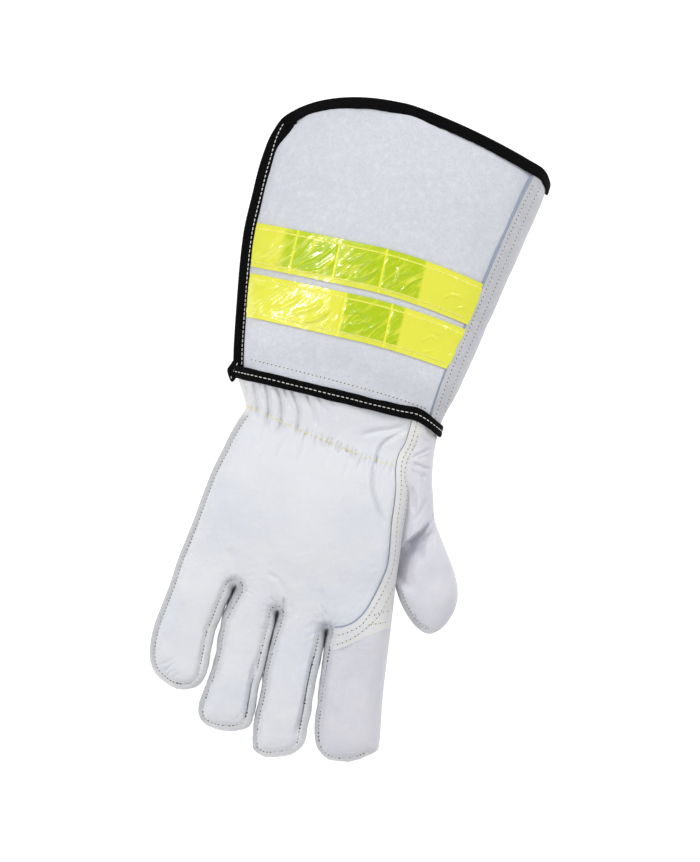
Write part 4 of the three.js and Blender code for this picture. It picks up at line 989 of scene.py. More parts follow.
thumbSeam = (thumbFree + thumbInwards * 3.0)[:thumbTip + 1]
thumbSurfaces = []
for name, side, first, last in (("thumb_back", 1, thumbTip, len(thumbFree) - 1), ("thumb_front", -1, 0, thumbTip)):
    seamRing = thumbRing(thumbAngle, side)
    wristEnd = resample([seamRing[-1, :2], thumbJoin[0]], 1.2)[1:-1]
    pocketEnd = resample([thumbJoin[-1], seamRing[0, :2]], 1.2)[1:-1]
    points, faces, source = fillLoop(np.vstack([seamRing[:, :2], wristEnd, thumbJoin, pocketEnd]), thumb["step"])
    placed = thumbPoints(points, thumbShare(points), side)
    own = (source >= 0) & (source < len(seamRing))
    placed[own] = seamRing[source[own]]
    rim = np.array([thumbRing(abs(a) * thumbAngle, 1 if a >= 0 else -1)[first:last + 1] for a in rimSteps])
    points, faces = weld([(placed, facing(placed, faces, (0, 0, side))),
                          gridSurface(rim, outOf(thumbInwards[first:last + 1]))])
    xy = points[:, :2].copy()
    x, y = xy.T
    middle = curve(thumbHeights, y, 1)
    distance, _, over = nearestOn(thumbSeam, xy)
    groove = -1.1 * np.exp(-(distance / 0.95) ** 2) * smoothstep(-y, 82, 88)
    if side > 0:
        weight = smoothstep(points[:, 2], middle, middle + 6)
        relief = foldRelief(xy, thumbFolds) + 0.4 * ripple(x, y, 15, 51) + 0.1 * ripple(x, y, 4, 52)
        distance, _, _ = nearestOn(thumbJoin, xy)
        points[:, 2] += (relief * smoothstep(distance, 0, 2.5) + groove) * np.maximum(weight, 0.3)
        points[:, 2] -= 0.5 * np.exp(-(distance / 0.9) ** 2)
    else:
        points[:, 2] += np.where(points[:, 2] < middle - 1, 0.4 + 0.4 * ripple(x, y, 14, 53), 0)
        points[:, 2] += groove * smoothstep(points[:, 2], middle, middle + 5)
    thumbSurfaces.append((points, faces))
    # painted shade, flecked with grime, on the thumb's lower left rim, which turns from the light
    shadeAndGrime = smoothstep(-over, -0.4, 0.5) * smoothstep(-y, 78, 86) * smoothstep(points[:, 2], 6, 11)
    shadeAndGrime = shadeAndGrime * (1 - smoothstep(x, 60, 70))
    sheetPiece(name + "_panel", thumbSurfaces[-1], thumb["wall"], [thumbLeather, fleshSide, rawEdge],
               "grain_leather", name, shadeAndGrime)


cuff = {"wall": 1.35, "finWidth": 5.0, "finHalf": 1.65, "edgeRound": 12.0, "lapLift": 1.35, "width": 160.0}
# y, left edge, right fold
cuffEdges = [(5, -71.6, 48.8), (17, -71.8, 50.8), (30, -74.2, 54.6), (60, -78.9, 61.2), (80, -81.7, 65.1),
             (100, -83.6, 69.3), (120, -83.4, 73.4), (142, -82.6, 77.7), (156, -80.4, 80.2), (162, -78.4, 80.8),
             (190, -74, 82)]
# up, height of the back, level of the side seam, lift of the palm side
cuffSections = [(0, 36, 17, 3.2), (0.15, 39, 16, 1.2), (0.35, 43.5, 14, 0.2), (0.7, 49, 12.5, 0.2), (1, 52, 12, 1.2)]
mouth = {"sideY": 162.0, "topY": 186.4, "corner": 0.36, "slopeFrom": 0.42, "slope": 19.0, "foldDrop": 5.0}


def mouthY(share):
    t = 1 - np.clip(share / mouth["corner"], 0, 1)
    corner = mouth["sideY"] + (mouth["topY"] - mouth["sideY"]) * np.sqrt(1 - t * t)
    u = np.maximum(0, (share - mouth["slopeFrom"]) / (1 - mouth["slopeFrom"]))
    fold = np.maximum(0, (share - 0.95) / 0.05)
    slope = mouth["topY"] - mouth["slope"] * u ** 1.3 - mouth["foldDrop"] * fold ** 2
    return np.where(share < mouth["corner"], corner, slope)


def cuffSides(y):  # x of the side seam and of the fold
    return curve(cuffEdges, y, 0) + cuff["finWidth"], curve(cuffEdges, y, 1)


def cuffPoint(side, share, margin, up):  # share 0 to 1 from the side seam to the fold, margin -finWidth to 0
    foot = wristY(mix(-67, 49.4, share)) + 0.48
    across = (margin + cuff["finWidth"] + share * (cuff["width"] - cuff["finWidth"])) / cuff["width"]
    y = mix(foot, mouthY(across), up)
    left, right = cuffSides(y)
    x = mix(left, right, share) + margin
    crown = rounded(np.minimum(x - left, right - x), cuff["edgeRound"])
    rise = 1 - (1 - np.minimum(share / 0.5, 1)) ** 2
    fall = rounded(1 - share, 0.4 if side > 0 else 0.16)
    level = 1 - (1 - np.minimum(share / 0.3, 1)) ** 2
    lens = rise * fall if side > 0 else level * fall
    body = np.where(margin < 0, 0, mix(crown, lens, smoothstep(up, 0, 0.4)))
    seam = curve(cuffSections, up, 1)
    crest = mix(handTop(x, np.full_like(x, hand["wristEnd"])), curve(cuffSections, up, 0), smoothstep(up, 0, 0.15))
    top = crest if side > 0 else curve(cuffSections, up, 2)
    start = seam + side * (cuff["finHalf"] + 0.7) * np.where(share > 0.5, 1 - smoothstep(share, 0.6, 1), 1)
    return np.stack([x, y, start + (top - start) * body], -1)


def columnAt(side, share, margin, ups):  # one column of the cuff, from the wrist up to the mouth
    return cuffPoint(side, share + 0 * ups, margin + 0 * ups, ups)


def gridNormals(grid):
    return unit(np.cross(np.gradient(grid, axis=0), np.gradient(grid, axis=1)))


cuffFolds = [
    ([(-62, 36), (-58, 27), (-56, 21)], 3, 0.7), ([(-30, 40), (-28, 29), (-27, 21)], 4, 0.6),
    ([(10, 36), (12, 27), (12, 20)], 4, 0.6), ([(-70, 150), (-50, 168), (-20, 176)], 5, 0.6),
    ([(44, 160), (52, 130), (50, 105)], 6, 0.9), ([(-60, 120), (-40, 128), (-10, 126)], 9, 0.8),
    ([(20, 150), (30, 128), (34, 112)], 7, 0.7), ([(-74, 110), (-68, 120), (-66, 135)], 4, 0.6),
]


def cuffRelief(xy):
    x, y = xy[:, 0], xy[:, 1]
    calm = smoothstep(y, 18, 30)
    swell = (0.55 * ripple(x, y, 34, 61) + 0.14 * ripple(x, y, 10, 62)) * calm + 0.04 * ripple(x, y, 3, 63)
    return swell + foldRelief(xy, cuffFolds)


# where the palm panel's cut edge laps over the back panel
cuffLap = np.array([(15, 43.2), (30, 44.2), (45.2, 46.2), (62, 49.4), (78.8, 52.6), (96.8, 56), (121, 60.4),
                    (140, 64.3), (159.6, 69), (172, 72.6)])
ups = np.linspace(0, 1, 118)
shareBack = (1 - np.cos(np.linspace(0, 1, 60) * pi * 0.5)) / 2
shareBack = np.concatenate([shareBack[:-1], np.linspace(0.5, 0.955, 62)])
backGrid = np.array([columnAt(1, 0.0, margin, ups) for margin in np.linspace(-cuff["finWidth"], -0.6, 6)]
                    + [columnAt(1, share, 0.0, ups) for share in shareBack])
normals = gridNormals(backGrid)
relief = cuffRelief(backGrid.reshape(-1, 3)[:, :2]).reshape(backGrid.shape[:2])
fromSide = smoothstep(backGrid[..., 0] - backGrid[:1, :, 0], 6, 16)
lapX = curve(cuffLap, backGrid[..., 1], 0)
under = smoothstep(backGrid[..., 0] - lapX, -1.0, 0.8)
backGrid = backGrid + normals * (relief * fromSide * (1 - under) - 0.35 * under)[..., None]
cuffBackSurface = gridSurface(backGrid, (0, 0, 1))
sheetPiece("cuff_back_panel", cuffBackSurface, cuff["wall"], [cuffSplit, cuffSplit, rawEdge], "split_leather",
           "cuff_back")

# palm panel: from its lapped edge round the fold and back across the underside
yFront = columnAt(1, 0.92, 0.0, ups)[:, 1]
leftAt, rightAt = cuffSides(yFront)
lapShare = (curve(cuffLap, yFront, 0) - leftAt) / (rightAt - leftAt)
lapColumns, frontColumns = 3, 26
columns = []
for t in np.concatenate([[-0.055, -0.028, 0.0], np.linspace(0.03, 1, frontColumns)]):
    share = mix(lapShare, 1.0, np.sin(np.clip(t, 0, 1) * pi / 2)) if t > 0 else lapShare + t * 0.13
    columns.append(columnAt(1, share, 0.0, ups))
foldShares = 1 - (1 - np.cos(np.linspace(0, 1, 26)[1:] * pi / 2)) * 0.35
columns += [columnAt(-1, share, 0.0, ups) for share in np.concatenate([foldShares, np.linspace(0.65, 0.0, 34)[1:]])]
columns += [columnAt(-1, 0.0, margin, ups) for margin in np.linspace(-0.6, -cuff["finWidth"], 6)]
palmGrid = np.array(columns)
normals = gridNormals(palmGrid)
if normals[2, 60, 2] < 0:
    normals = -normals
liftRow = np.zeros(len(columns))
liftRow[1], liftRow[2] = cuff["lapLift"] * 0.55, cuff["lapLift"]
liftRow[lapColumns:lapColumns + frontColumns] = cuff["lapLift"] * (1 - smoothstep(np.arange(frontColumns), 12, 25))
x, y, z = np.moveaxis(palmGrid, -1, 0)
relief = 0.25 * ripple(x, y, 18, 71) + 0.08 * ripple(x, y, 6, 72)
relief[:lapColumns] *= 0.3
relief = np.where(z < 12, -np.abs(relief) * 1.2, relief)  # the underside stays above the floor
palmGrid = palmGrid + normals * (liftRow[:, None] + relief)[..., None]
cuffPalmSurface = gridSurface(palmGrid, (palmGrid - palmGrid.mean((0, 1))).reshape(-1, 3))
bevel = np.all(cuffPalmSurface[1] < lapColumns * len(ups), axis=1)
sheetPiece("cuff_palm_panel", cuffPalmSurface, cuff["wall"], [stripSplit, cuffSplit, rawEdge], "split_leather",
           "cuff_palm", None, bevel)


tapes = {"width": 25.4, "wall": 0.6, "lift": 0.95, "border": 9.9, "stitchLine": 9.7, "from": 0.008}
tapeRows = [
    {"name": "lower_tape", "y": 63.2, "fall": 6.0, "green": (-18.0, 16.0), "seals": (-18.8, 8.2)},
    {"name": "upper_tape", "y": 92.4, "fall": 7.0, "green": (-59.0, 22.0), "seals": (-53.0, -28.4, -1.4)},
]
# raised wrinkles of the tapes: points along the crest, half width, height
tapeFolds = {
    "upper_tape": [([(-72, 84), (-66, 88), (-60, 96)], 1.2, 0.7), ([(-51, 83), (-40, 90), (-31, 100)], 0.9, 0.7),
                   ([(-52, 88), (-44, 95), (-36, 99)], 0.8, 0.6),
                   ([(-47, 82), (-37, 85), (-30, 92)], 0.9, 0.7), ([(-49, 92), (-44, 99)], 0.8, 0.5),
                   ([(-38, 82), (-33, 87), (-30, 90)], 0.8, 0.6),
                   ([(-26, 83), (-17, 91), (-5, 99)], 0.9, 0.7), ([(-26, 89), (-19, 95), (-11, 102)], 0.8, 0.6),
                   ([(-22, 82), (-12, 86), (-4, 92)], 0.8, 0.6),
                   ([(-14, 84), (-8, 88), (-3, 95)], 0.8, 0.5), ([(2, 83), (8, 90), (7, 98)], 1.0, 0.7),
                   ([(11, 82), (16, 90), (21, 93)], 0.9, 0.6),
                   ([(6, 90), (14, 95), (19, 92)], 0.8, 0.5), ([(34, 84), (40, 88), (46, 87)], 0.7, 0.35),
                   ([(42, 80), (48, 83)], 0.6, 0.3)],
    "lower_tape": [([(-60, 57), (-51, 61), (-42, 69)], 1.1, 0.7), ([(-56, 70), (-48, 72)], 0.9, 0.6),
                   ([(-40, 54), (-31, 58), (-25, 66)], 1.0, 0.8),
                   ([(-72, 68), (-67, 72)], 1.0, 0.6), ([(-16, 64), (-9, 67), (0, 63)], 0.8, 0.6),
                   ([(-15, 58), (-7, 62), (4, 60)], 0.8, 0.6),
                   ([(-14, 54), (-4, 57), (6, 66)], 0.8, 0.5), ([(9, 58), (14, 64)], 0.7, 0.5),
                   ([(10, 52), (16, 57)], 0.7, 0.5),
                   ([(28, 58), (34, 62), (38, 60)], 0.6, 0.35), ([(30, 52), (37, 55)], 0.6, 0.35),
                   ([(34, 66), (40, 64)], 0.6, 0.35)],
}
# roof-shaped wrinkles whose flat sides catch the light: ends, half width, height
tapeTents = [(-68, 54.5, -51, 71, 2.3, 1.0), (-70, 57, -63, 62, 1.8, 0.8), (-71, 68, -57, 72.5, 1.5, 0.65),
             (-46, 56, -31, 68, 2.2, 0.95), (-39, 53.5, -26, 63.5, 1.7, 0.75), (-47, 52.5, -41, 56, 1.4, 0.6),
             (-30, 53, -23, 58.5, 1.3, 0.55), (-69, 90, -64.5, 96, 1.3, 0.55),
             (-63.5, 83, -55.5, 89, 1.6, 0.7), (-58, 81.5, -51, 83.5, 1.2, 0.5), (-74, 84, -70, 88, 1.2, 0.5)]


def tentRelief(xy):
    dz = np.zeros(len(xy))
    for x0, y0, x1, y1, width, height in tapeTents:
        way = np.array([x1 - x0, y1 - y0], float)
        length = np.linalg.norm(way)
        way /= length
        local = xy - (x0, y0)
        along = local @ way
        across = local @ np.array([-way[1], way[0]]) + 0.8 * np.sin(along / length * 5 + x0)
        body = smoothstep(along, 0, 3) * smoothstep(length - along, 0, 3)
        dz = np.maximum(dz, height * body * np.clip(1 - np.abs(across) / width, 0, 1))
    return dz


def upFor(share, y):  # how far up the cuff a plan point lies, by halving
    low, high = np.zeros_like(y), np.ones_like(y)
    for _ in range(24):
        middle = (low + high) / 2
        below = cuffPoint(1, share, np.zeros_like(share), middle)[..., 1] < y
        low, high = np.where(below, middle, low), np.where(below, high, middle)
    return low


def tapeY(tape, x, v):  # the tapes sag towards the lapped edge
    return tape["y"] - tape["fall"] * (np.maximum(0, x + 5) / 60) ** 1.6 + v


tapeSurfaces, tapeSewing = [], []
for tape in tapeRows:
    across = np.linspace(-tapes["width"] / 2, tapes["width"] / 2, 34)
    s, v = np.meshgrid(np.linspace(0, 1, 190), across, indexing="ij")
    # the right end slants with the cuff's lapped edge
    yGuess = tapeY(tape, mix(-76.0, 52.0, s), v)
    left, right = cuffSides(yGuess)
    endShare = (curve(cuffLap, yGuess, 0) + 0.4 - left) / (right - left)
    share = mix(tapes["from"], endShare, s)
    y = tapeY(tape, mix(left, right, share), v)
    grid = cuffPoint(1, share, np.zeros_like(share), upFor(share, y))
    normals = gridNormals(grid)
    normals = normals if normals[90, 17, 2] > 0 else -normals
    gx, gy = grid[..., 0], grid[..., 1]
    flatXY = grid.reshape(-1, 3)[:, :2]
    relief = cuffRelief(flatXY).reshape(gx.shape) * smoothstep(gx - gx[:1], 4, 16)
    inner = 1 - smoothstep(np.abs(v), tapes["border"] - 0.5, tapes["border"] + 0.3)
    puff = 0.35 * inner
    for seal in tape["seals"]:
        puff = puff - 0.32 * np.exp(-((gx - seal) / 0.8) ** 2) * inner
    wrinkles = (tentRelief(flatXY) - foldRelief(flatXY, tapeFolds[tape["name"]])).reshape(gx.shape)
    wrinkles = wrinkles + 0.10 * ripple(gx, gy, 5, 81)
    dash = 0.10 * np.sin(gx * 2 * pi / 2.6) * np.exp(-((np.abs(v) - tapes["stitchLine"]) / 0.5) ** 2)
    grid = grid + normals * (tapes["lift"] + relief + puff + wrinkles * inner + dash)[..., None]
    tapeSurfaces.append(gridSurface(grid, (0, 0, 1)))
    tapeSewing += [grid[2:-2, k, :2] for k in (4, 29)]
    vinyl = prismVinyl(tape["name"] + "Vinyl", *tape["green"], tape["seals"], tapes["border"])
    sheetPiece(tape["name"] + "_strip", tapeSurfaces[-1], tapes["wall"], [vinyl], "reflective_vinyl", tape["name"],
               np.column_stack([gx.ravel(), v.ravel()]))


binding = {"width": 5.3, "tape": 0.75, "gap": 0.2, "step": 1.6, "sideFoot": 20.0, "sideTop": 160.0}


def sweep(centres, firsts, seconds, profiles, closed=False):  # a profile for each point of a line, joined up
    grid = centres[:, None] + firsts[:, None] * profiles[..., :1] + seconds[:, None] * profiles[..., 1:]
    rows, k = grid.shape[:2]
    faces = []
    for i in range(rows if closed else rows - 1):
        nextRow = (i + 1) % rows
        for j in range(k):
            j1 = (j + 1) % k
            faces.append((i * k + j, i * k + j1, nextRow * k + j1, nextRow * k + j))
    if not closed:
        faces.append(tuple(range(k - 1, -1, -1)))
        faces.append(tuple((rows - 1) * k + j for j in range(k)))
    travel = centres[1] - centres[0]
    if np.dot(np.cross(firsts[0], seconds[0]), travel) < 0:
        faces = [f[::-1] for f in faces]
    return grid.reshape(-1, 3), faces


def channelProfile(wall, width):  # a folded tape over an edge, with a soft rounded nose
    b = binding
    inner = wall / 2 + b["gap"]
    out = inner + b["tape"]
    nose = [(-b["gap"] - b["tape"] * math.cos(a) * 1.6 + 0.1, out * math.sin(a))
            for a in np.linspace(pi / 2, -pi / 2, 9)]
    top = [(width, inner), (width + 0.15, inner + 0.3), (width - 0.3, out - 0.05), (width * 0.7, out + 0.12),
           (width * 0.35, out + 0.05)]
    low = [(x, -z) for x, z in top[::-1]]
    return np.array(top + nose + low + [(-b["gap"] * 0.5, -inner), (-b["gap"] * 0.5, inner)])


def tapePiece(name, sweptPiece, replaced=()):
    makePiece(name, *sweptPiece, [blackTape], "binding_tape", replaces=replaced, crease=60)
    print(name, len(sweptPiece[1]))


# rim, from the back's side seam over the mouth and round the fold to the palm's side seam
rimShare = (1 - np.cos(np.linspace(0, 1, 200) * pi)) / 2
one = np.ones_like(rimShare)
rows = []
for up in (1.0, 0.985):
    rows.append(np.vstack([cuffPoint(1, np.zeros(8), np.linspace(-4.4, -0.4, 8), np.full(8, up)),
                           cuffPoint(1, rimShare, 0 * one, up * one),
                           cuffPoint(-1, rimShare[::-1][1:], 0 * one[1:], up * one[1:]),
                           cuffPoint(-1, np.zeros(8), np.linspace(-0.4, -4.4, 8), np.full(8, up))]))
dense, below = rows
edge = resample(dense, binding["step"])
s = np.arange(len(edge)) * binding["step"]
tangent = unit(np.gradient(edge, axis=0))
along = np.concatenate([[0], np.cumsum(np.linalg.norm(np.diff(dense, axis=0), axis=1))])
at = np.linspace(0, along[-1], len(edge))
inwardRaw = np.stack([np.interp(at, along, column) for column in (below - dense).T], 1)
outward = np.cross(inwardRaw, tangent)
topRow = 60  # a point of the edge that surely lies on the back
if outward[topRow, 2] < 0:
    outward = -outward
for k in range(topRow - 1, -1, -1):  # one side all the way
    outward[k] *= np.sign(np.dot(outward[k], outward[k + 1])) or 1
outward = unit(outward)
for _ in range(6):
    outward[1:-1] = (outward[:-2] + outward[1:-1] * 2 + outward[2:]) / 4
inward = np.cross(outward, tangent)
inward = unit(inward * np.sign(np.sum(inward * inwardRaw)))
outward = np.cross(inward, tangent) * np.sign(np.sum(np.cross(inward, tangent) * outward))
# the palm panel's lapped edge makes the cuff thicker from the front seam to the fold
thick = smoothstep(edge[:, 0], 66, 72) * smoothstep(-s, -215, -190)
profile = channelProfile(cuff["wall"], binding["width"])
profiles = np.repeat(profile[None], len(edge), 0)
wide, upper = profile[:, 0] > 3, profile[:, 1] > 0
profiles[:, wide, 0] += (0.28 * ripple(s, 0, 14, 91) + 0.1 * ripple(s, 0, 4, 92))[:, None]
# wider round the corner, where it covers the side binding's end, and lifted over the panel there
profiles[:, wide, 0] += (1.9 * np.exp(-((s - 7) / 9) ** 2) - 1.6 * (1 - smoothstep(s, 0, 7)))[:, None]
profiles[:, :, 1] *= (1 + 0.05 * ripple(s, 0, 9, 93))[:, None]
profiles[:, :, 1] += (0.9 * thick[:, None]) * upper
profiles[:, wide & upper, 1] += 2.6 * (1 - smoothstep(s, 7, 15))[:, None]
tapePiece("rim_binding_tape", sweep(edge - outward * cuff["wall"] / 2, inward, outward, profiles), ["rim_binding"])

# side binding over both cuff panels' margins
ups = np.linspace(0.0, 1.0, 160)
middleLine = sum(columnAt(side, 0.0, -cuff["finWidth"], ups) for side in (1, -1)) / 2
middleLine = middleLine[(middleLine[:, 1] > binding["sideFoot"]) & (middleLine[:, 1] < binding["sideTop"])]
cornerMargin = -cuff["finWidth"] + 4.9 * np.linspace(0, 1, 12) ** 2
cornerLine = sum(cuffPoint(side, np.zeros(12), cornerMargin, np.ones(12)) for side in (1, -1)) / 2
sideLine = spline(np.vstack([middleLine[::6], cornerLine[1::2]]), binding["step"])
s = np.arange(len(sideLine)) * binding["step"]
left = s[-1] - s  # what is left up to the corner
tangent = unit(np.gradient(sideLine, axis=0))
sideSecond = unit(np.array([0, 0, 1.0]) - tangent * tangent[:, 2:3])
sideFirst = np.cross(tangent, sideSecond)
profile = channelProfile(2 * cuff["finHalf"] + cuff["wall"] + 0.2, binding["width"])
profiles = np.repeat(profile[None], len(sideLine), 0)
wide, upper, nose = profile[:, 0] > 3, profile[:, 1] > 0, profile[:, 0] < 1
profiles[:, wide, 0] += (0.3 * ripple(s, 0, 12, 94) + 0.12 * ripple(s, 0, 4, 95)
                         + 2.6 * (1 - smoothstep(left, 11, 27)))[:, None]
profiles[:, :, 1] *= (1 + 0.04 * ripple(s, 0, 8, 96))[:, None]
profiles[:, wide & upper, 1] += 2.1 * (1 - smoothstep(left, 9, 26))[:, None]
profiles[:, nose, 0] *= 0.7 + 0.3 * smoothstep(left, 0, 9)[:, None]
profiles[:, :, 1] *= (0.7 + 0.3 * smoothstep(left, 0, 5))[:, None]
tapePiece("side_binding_tape", sweep(sideLine, sideFirst, sideSecond, profiles), ["side_binding"])
# wrist binding: a taut band over the wrist seam, on the convex hull of the section there
def hullOf(points):
    order = points[np.lexsort((points[:, 1], points[:, 0]))]

    def half(rows):
        chain = []
        for p in rows:
            while len(chain) > 1:
                a, b = chain[-2:]
                if (b[0] - a[0]) * (p[1] - a[1]) - (b[1] - a[1]) * (p[0] - a[0]) > 1e-6:
                    break
                chain.pop()
            chain.append(p)
        return chain[:-1]
    return np.array(half(order) + half(order[::-1]))


ring = []
for side in (1, -1):
    for up in (0.0, 0.02):
        ring.append(cuffPoint(side, rimShare, 0 * one, up * one))
        ring.append(cuffPoint(side, np.zeros(4), np.linspace(-cuff["finWidth"], 0, 4), np.full(4, up)))
hull = hullOf(np.vstack(ring)[:, [0, 2]])
hull = resample(np.vstack([hull, hull[:1]]), 1.5)[:-1]
for _ in range(3):
    hull = (np.roll(hull, 1, 0) + 2 * hull + np.roll(hull, -1, 0)) / 4
turn = unit(np.roll(hull, -1, 0) - np.roll(hull, 1, 0))
s, level = hull.T
bandCentres = np.column_stack([s, wristY(s) + 0.4, level])
bandFirst = np.tile([0, -1.0, 0], (len(hull), 1))
bandSecond = np.column_stack([turn[:, 1], np.zeros(len(hull)), -turn[:, 0]])
low, high, half = 0.5, 2.3, 3.3
bandProfile = [(-half, low), (half, low), (half + 0.25, low + 0.6), (half - 0.1, high - 0.35), (half - 0.9, high),
               (1.2, high + 0.05), (0.0, high - 0.22), (-1.2, high + 0.05), (-half + 0.9, high),
               (-half + 0.1, high - 0.35), (-half - 0.25, low + 0.6)]
profiles = np.repeat(np.array([bandProfile]), len(hull), 0)
hump = np.exp(-((s - 36) / 7) ** 2) * (level > 20)  # where the band and the thumb end under it
profiles[:, :, 0] *= (1 + 0.05 * ripple(s, level, 9, 97) + 0.16 * hump)[:, None]
profiles[:, 4:9, 1] += (1.1 * hump + 0.1 * ripple(s, level, 6, 98))[:, None]
bandCentres[:, 1] += 0.9 * hump + 0.25 * ripple(s, level, 16, 99)
tapePiece("wrist_binding_tape", sweep(bandCentres, bandFirst, bandSecond, profiles, closed=True), ["wrist_binding"])

# the side binding's foot, folded over the wrist binding's end: centre, half width, half height
tail = spline([(-72, 25.5, 16.5, 2.2, 3.2), (-72.8, 22, 17.5, 2.7, 4.2), (-73.4, 19, 18, 3.1, 4.5),
               (-73, 16.2, 18, 2.7, 4.3), (-72.6, 13.8, 17.6, 1.6, 3.4), (-72.5, 12.4, 17.3, 0.6, 2.2)], 0.8)
angles = np.linspace(0, 2 * pi, 17)[:-1]
lumps = 1 + 0.07 * ripple(tail[:, 1:2] + 0 * angles, 6 * np.sin(angles)[None] + 0 * tail[:, :1], 5, 101)
ringX = np.sign(np.cos(angles)) * np.abs(np.cos(angles)) ** 0.6
ringZ = np.sign(np.sin(angles)) * np.abs(np.sin(angles)) ** 0.7
profiles = np.stack([tail[:, 3:4] * ringX * lumps, tail[:, 4:5] * ringZ * lumps], -1)
verts, quads = sweep(tail[:, :3], np.tile([1.0, 0, 0], (len(tail), 1)), np.tile([0, 0, 1.0], (len(tail), 1)), profiles)
tailSurface = (verts, [(f[0], f[k], f[k + 1]) for f in quads for k in range(1, len(f) - 1)])
tapePiece("side_binding_tail", (verts, quads))


# millimetres; of a seam: pitch, stitch length, how deep the thread sinks, how far it strays
sewing = {"path": 0.25, "thread": 0.26, "shirringThread": 0.3, "tapeThread": 0.24, "hole": 0.44, "seamHole": 0.56,
          "seam": (2.1, 1.1, 0.12), "shirring": (2.6, 2.1, -0.05, 0.4), "band": (2.7, 1.3, 0.08),
          "cuff": (2.4, 1.2, 0.2), "thumb": (2.2, 1.3, 0.32), "tape": (2.8, 1.9, 0.05)}


def capsules(ends, radius, sides=6):  # plump stitches from end to end, bowed a little away from the leather
    profile = [(-0.48, 0.55), (-0.38, 0.95), (0.0, 1.05), (0.38, 0.95), (0.48, 0.55)]
    verts, faces = [], []
    for a, b, up in ends:
        a, b, up = np.array(a), np.array(b), np.array(up)
        axis = b - a
        size = np.linalg.norm(axis)
        if size < 1e-6:
            continue
        axis = axis / size
        u = unit(np.cross(axis, up))
        w = np.cross(u, axis)
        start = len(verts)
        verts.append(a)
        for t, r in profile:
            bow = (0.5 - 2 * t * t) * radius * 0.8
            for k in range(sides):
                angle = 2 * pi * k / sides
                ring = (u * math.cos(angle) + w * math.sin(angle)) * radius * r
                verts.append((a + b) / 2 + axis * size * t + w * bow + ring)
        verts.append(b)
        last = start + 1 + (len(profile) - 1) * sides
        for k in range(sides):
            k1 = (k + 1) % sides
            faces.append((start, start + 1 + k1, start + 1 + k))
            for p in range(start + 1, last, sides):
                faces.append((p + k, p + k1, p + sides + k1, p + sides + k))
            faces.append((last + sides, last + k, last + k1))
    return np.array(verts), faces


def rowStitches(path, trees, pitch, length, sink=0.0, stray=0.0):
    step = sewing["path"]
    path = spline(path, step) if len(path) < 60 else resample(path, step)
    last = len(path) - 1
    ends, holes = [], []
    for at in np.arange(pitch * 0.5, len(path) * step - pitch * 0.5, pitch):
        at = at + random.uniform(-0.12, 0.12)
        i, j = max(int((at - length / 2) / step), 0), min(int((at + length / 2) / step), last)
        hole = min(int((at + pitch / 2) / step), last)
        off = random.uniform(-stray, stray, (2, 2)) if stray else np.zeros((2, 2))
        a, b, c = dropOn(trees, [path[i] + off[0], path[j] + off[1], path[hole]])
        if a is None or b is None:
            continue
        ends.append((a[0] - a[1] * sink, b[0] - b[1] * sink, (a[1] + b[1]).normalized()))
        if c is not None:
            holes.append(c)
    return ends, holes


def dimples(holes, radius):  # needle holes: small dished discs let into the leather, painted dark as the shade inside the holes
    verts, faces = [], []
    for point, normal in holes:
        p, n = np.array(point), np.array(normal)
        u = unit(np.cross(n, (0.3, 1, 0.2)))
        w = np.cross(n, u)
        start = len(verts)
        verts.append(p + n * 0.10)
        for r, h in ((0.7, 0.07), (1.0, -0.08)):
            for k in range(8):
                angle = 2 * pi * k / 8
                verts.append(p + n * h + (u * math.cos(angle) + w * math.sin(angle)) * radius * r)
        verts.append(p - n * 0.25)
        for k in range(8):
            k1 = (k + 1) % 8
            faces.append((start, start + 1 + k, start + 1 + k1))
            faces.append((start + 1 + k, start + 9 + k, start + 9 + k1, start + 1 + k1))
            faces.append((start + 17, start + 9 + k1, start + 9 + k))
    return np.array(verts), faces


handTrees = treeOf([handBackSurface, palmSurface, indexSurface, *rimSurfaces])
thumbTrees = treeOf(thumbSurfaces)
cuffTrees = treeOf([cuffBackSurface, cuffPalmSurface])

def stitchPiece(name, mesh, material):
    makePiece(name, *mesh, [material], crease=80)
    print(name, len(mesh[1]))


seamStart = int(np.argmax(seamLine[:, 1] < -3))
# finger seams: thread that just shows in the groove
creamEnds, seamHoles = rowStitches(seamLine[seamStart:-1], handTrees, *sewing["seam"])
# shirring: short dense stitches
shirringEnds, _ = rowStitches(shirring, handTrees, *sewing["shirring"])
# two rows along the band, one along the thumb's join and two fans at the index finger's base
lapIn = lapLine - sidewards(lapLine) * 3.0
lapOut = lapLine - sidewards(lapLine) * 7.6
bandRows = [np.vstack([[(16.8, -117.6), (24.5, -113), (30, -108.4)], lapIn[lapIn[:, 1] > -103][::3]]),
            np.vstack([[(17.6, -123), (23.9, -118.8), (29.4, -114), (33.6, -108.8)],
                       lapOut[(lapOut[:, 1] > -101) & (lapOut[:, 1] < -48)][::3]]),
            [(38.6, 7), (38.2, 0), (35.8, -10), (36.4, -19), (39.4, -26.5), (41, -37), (41.2, -48)],
            [(33.5, -106.8), (38.8, -105.2), (45.4, -102.6)], [(34.5, -102), (39.5, -98.6), (45, -96.8)]]
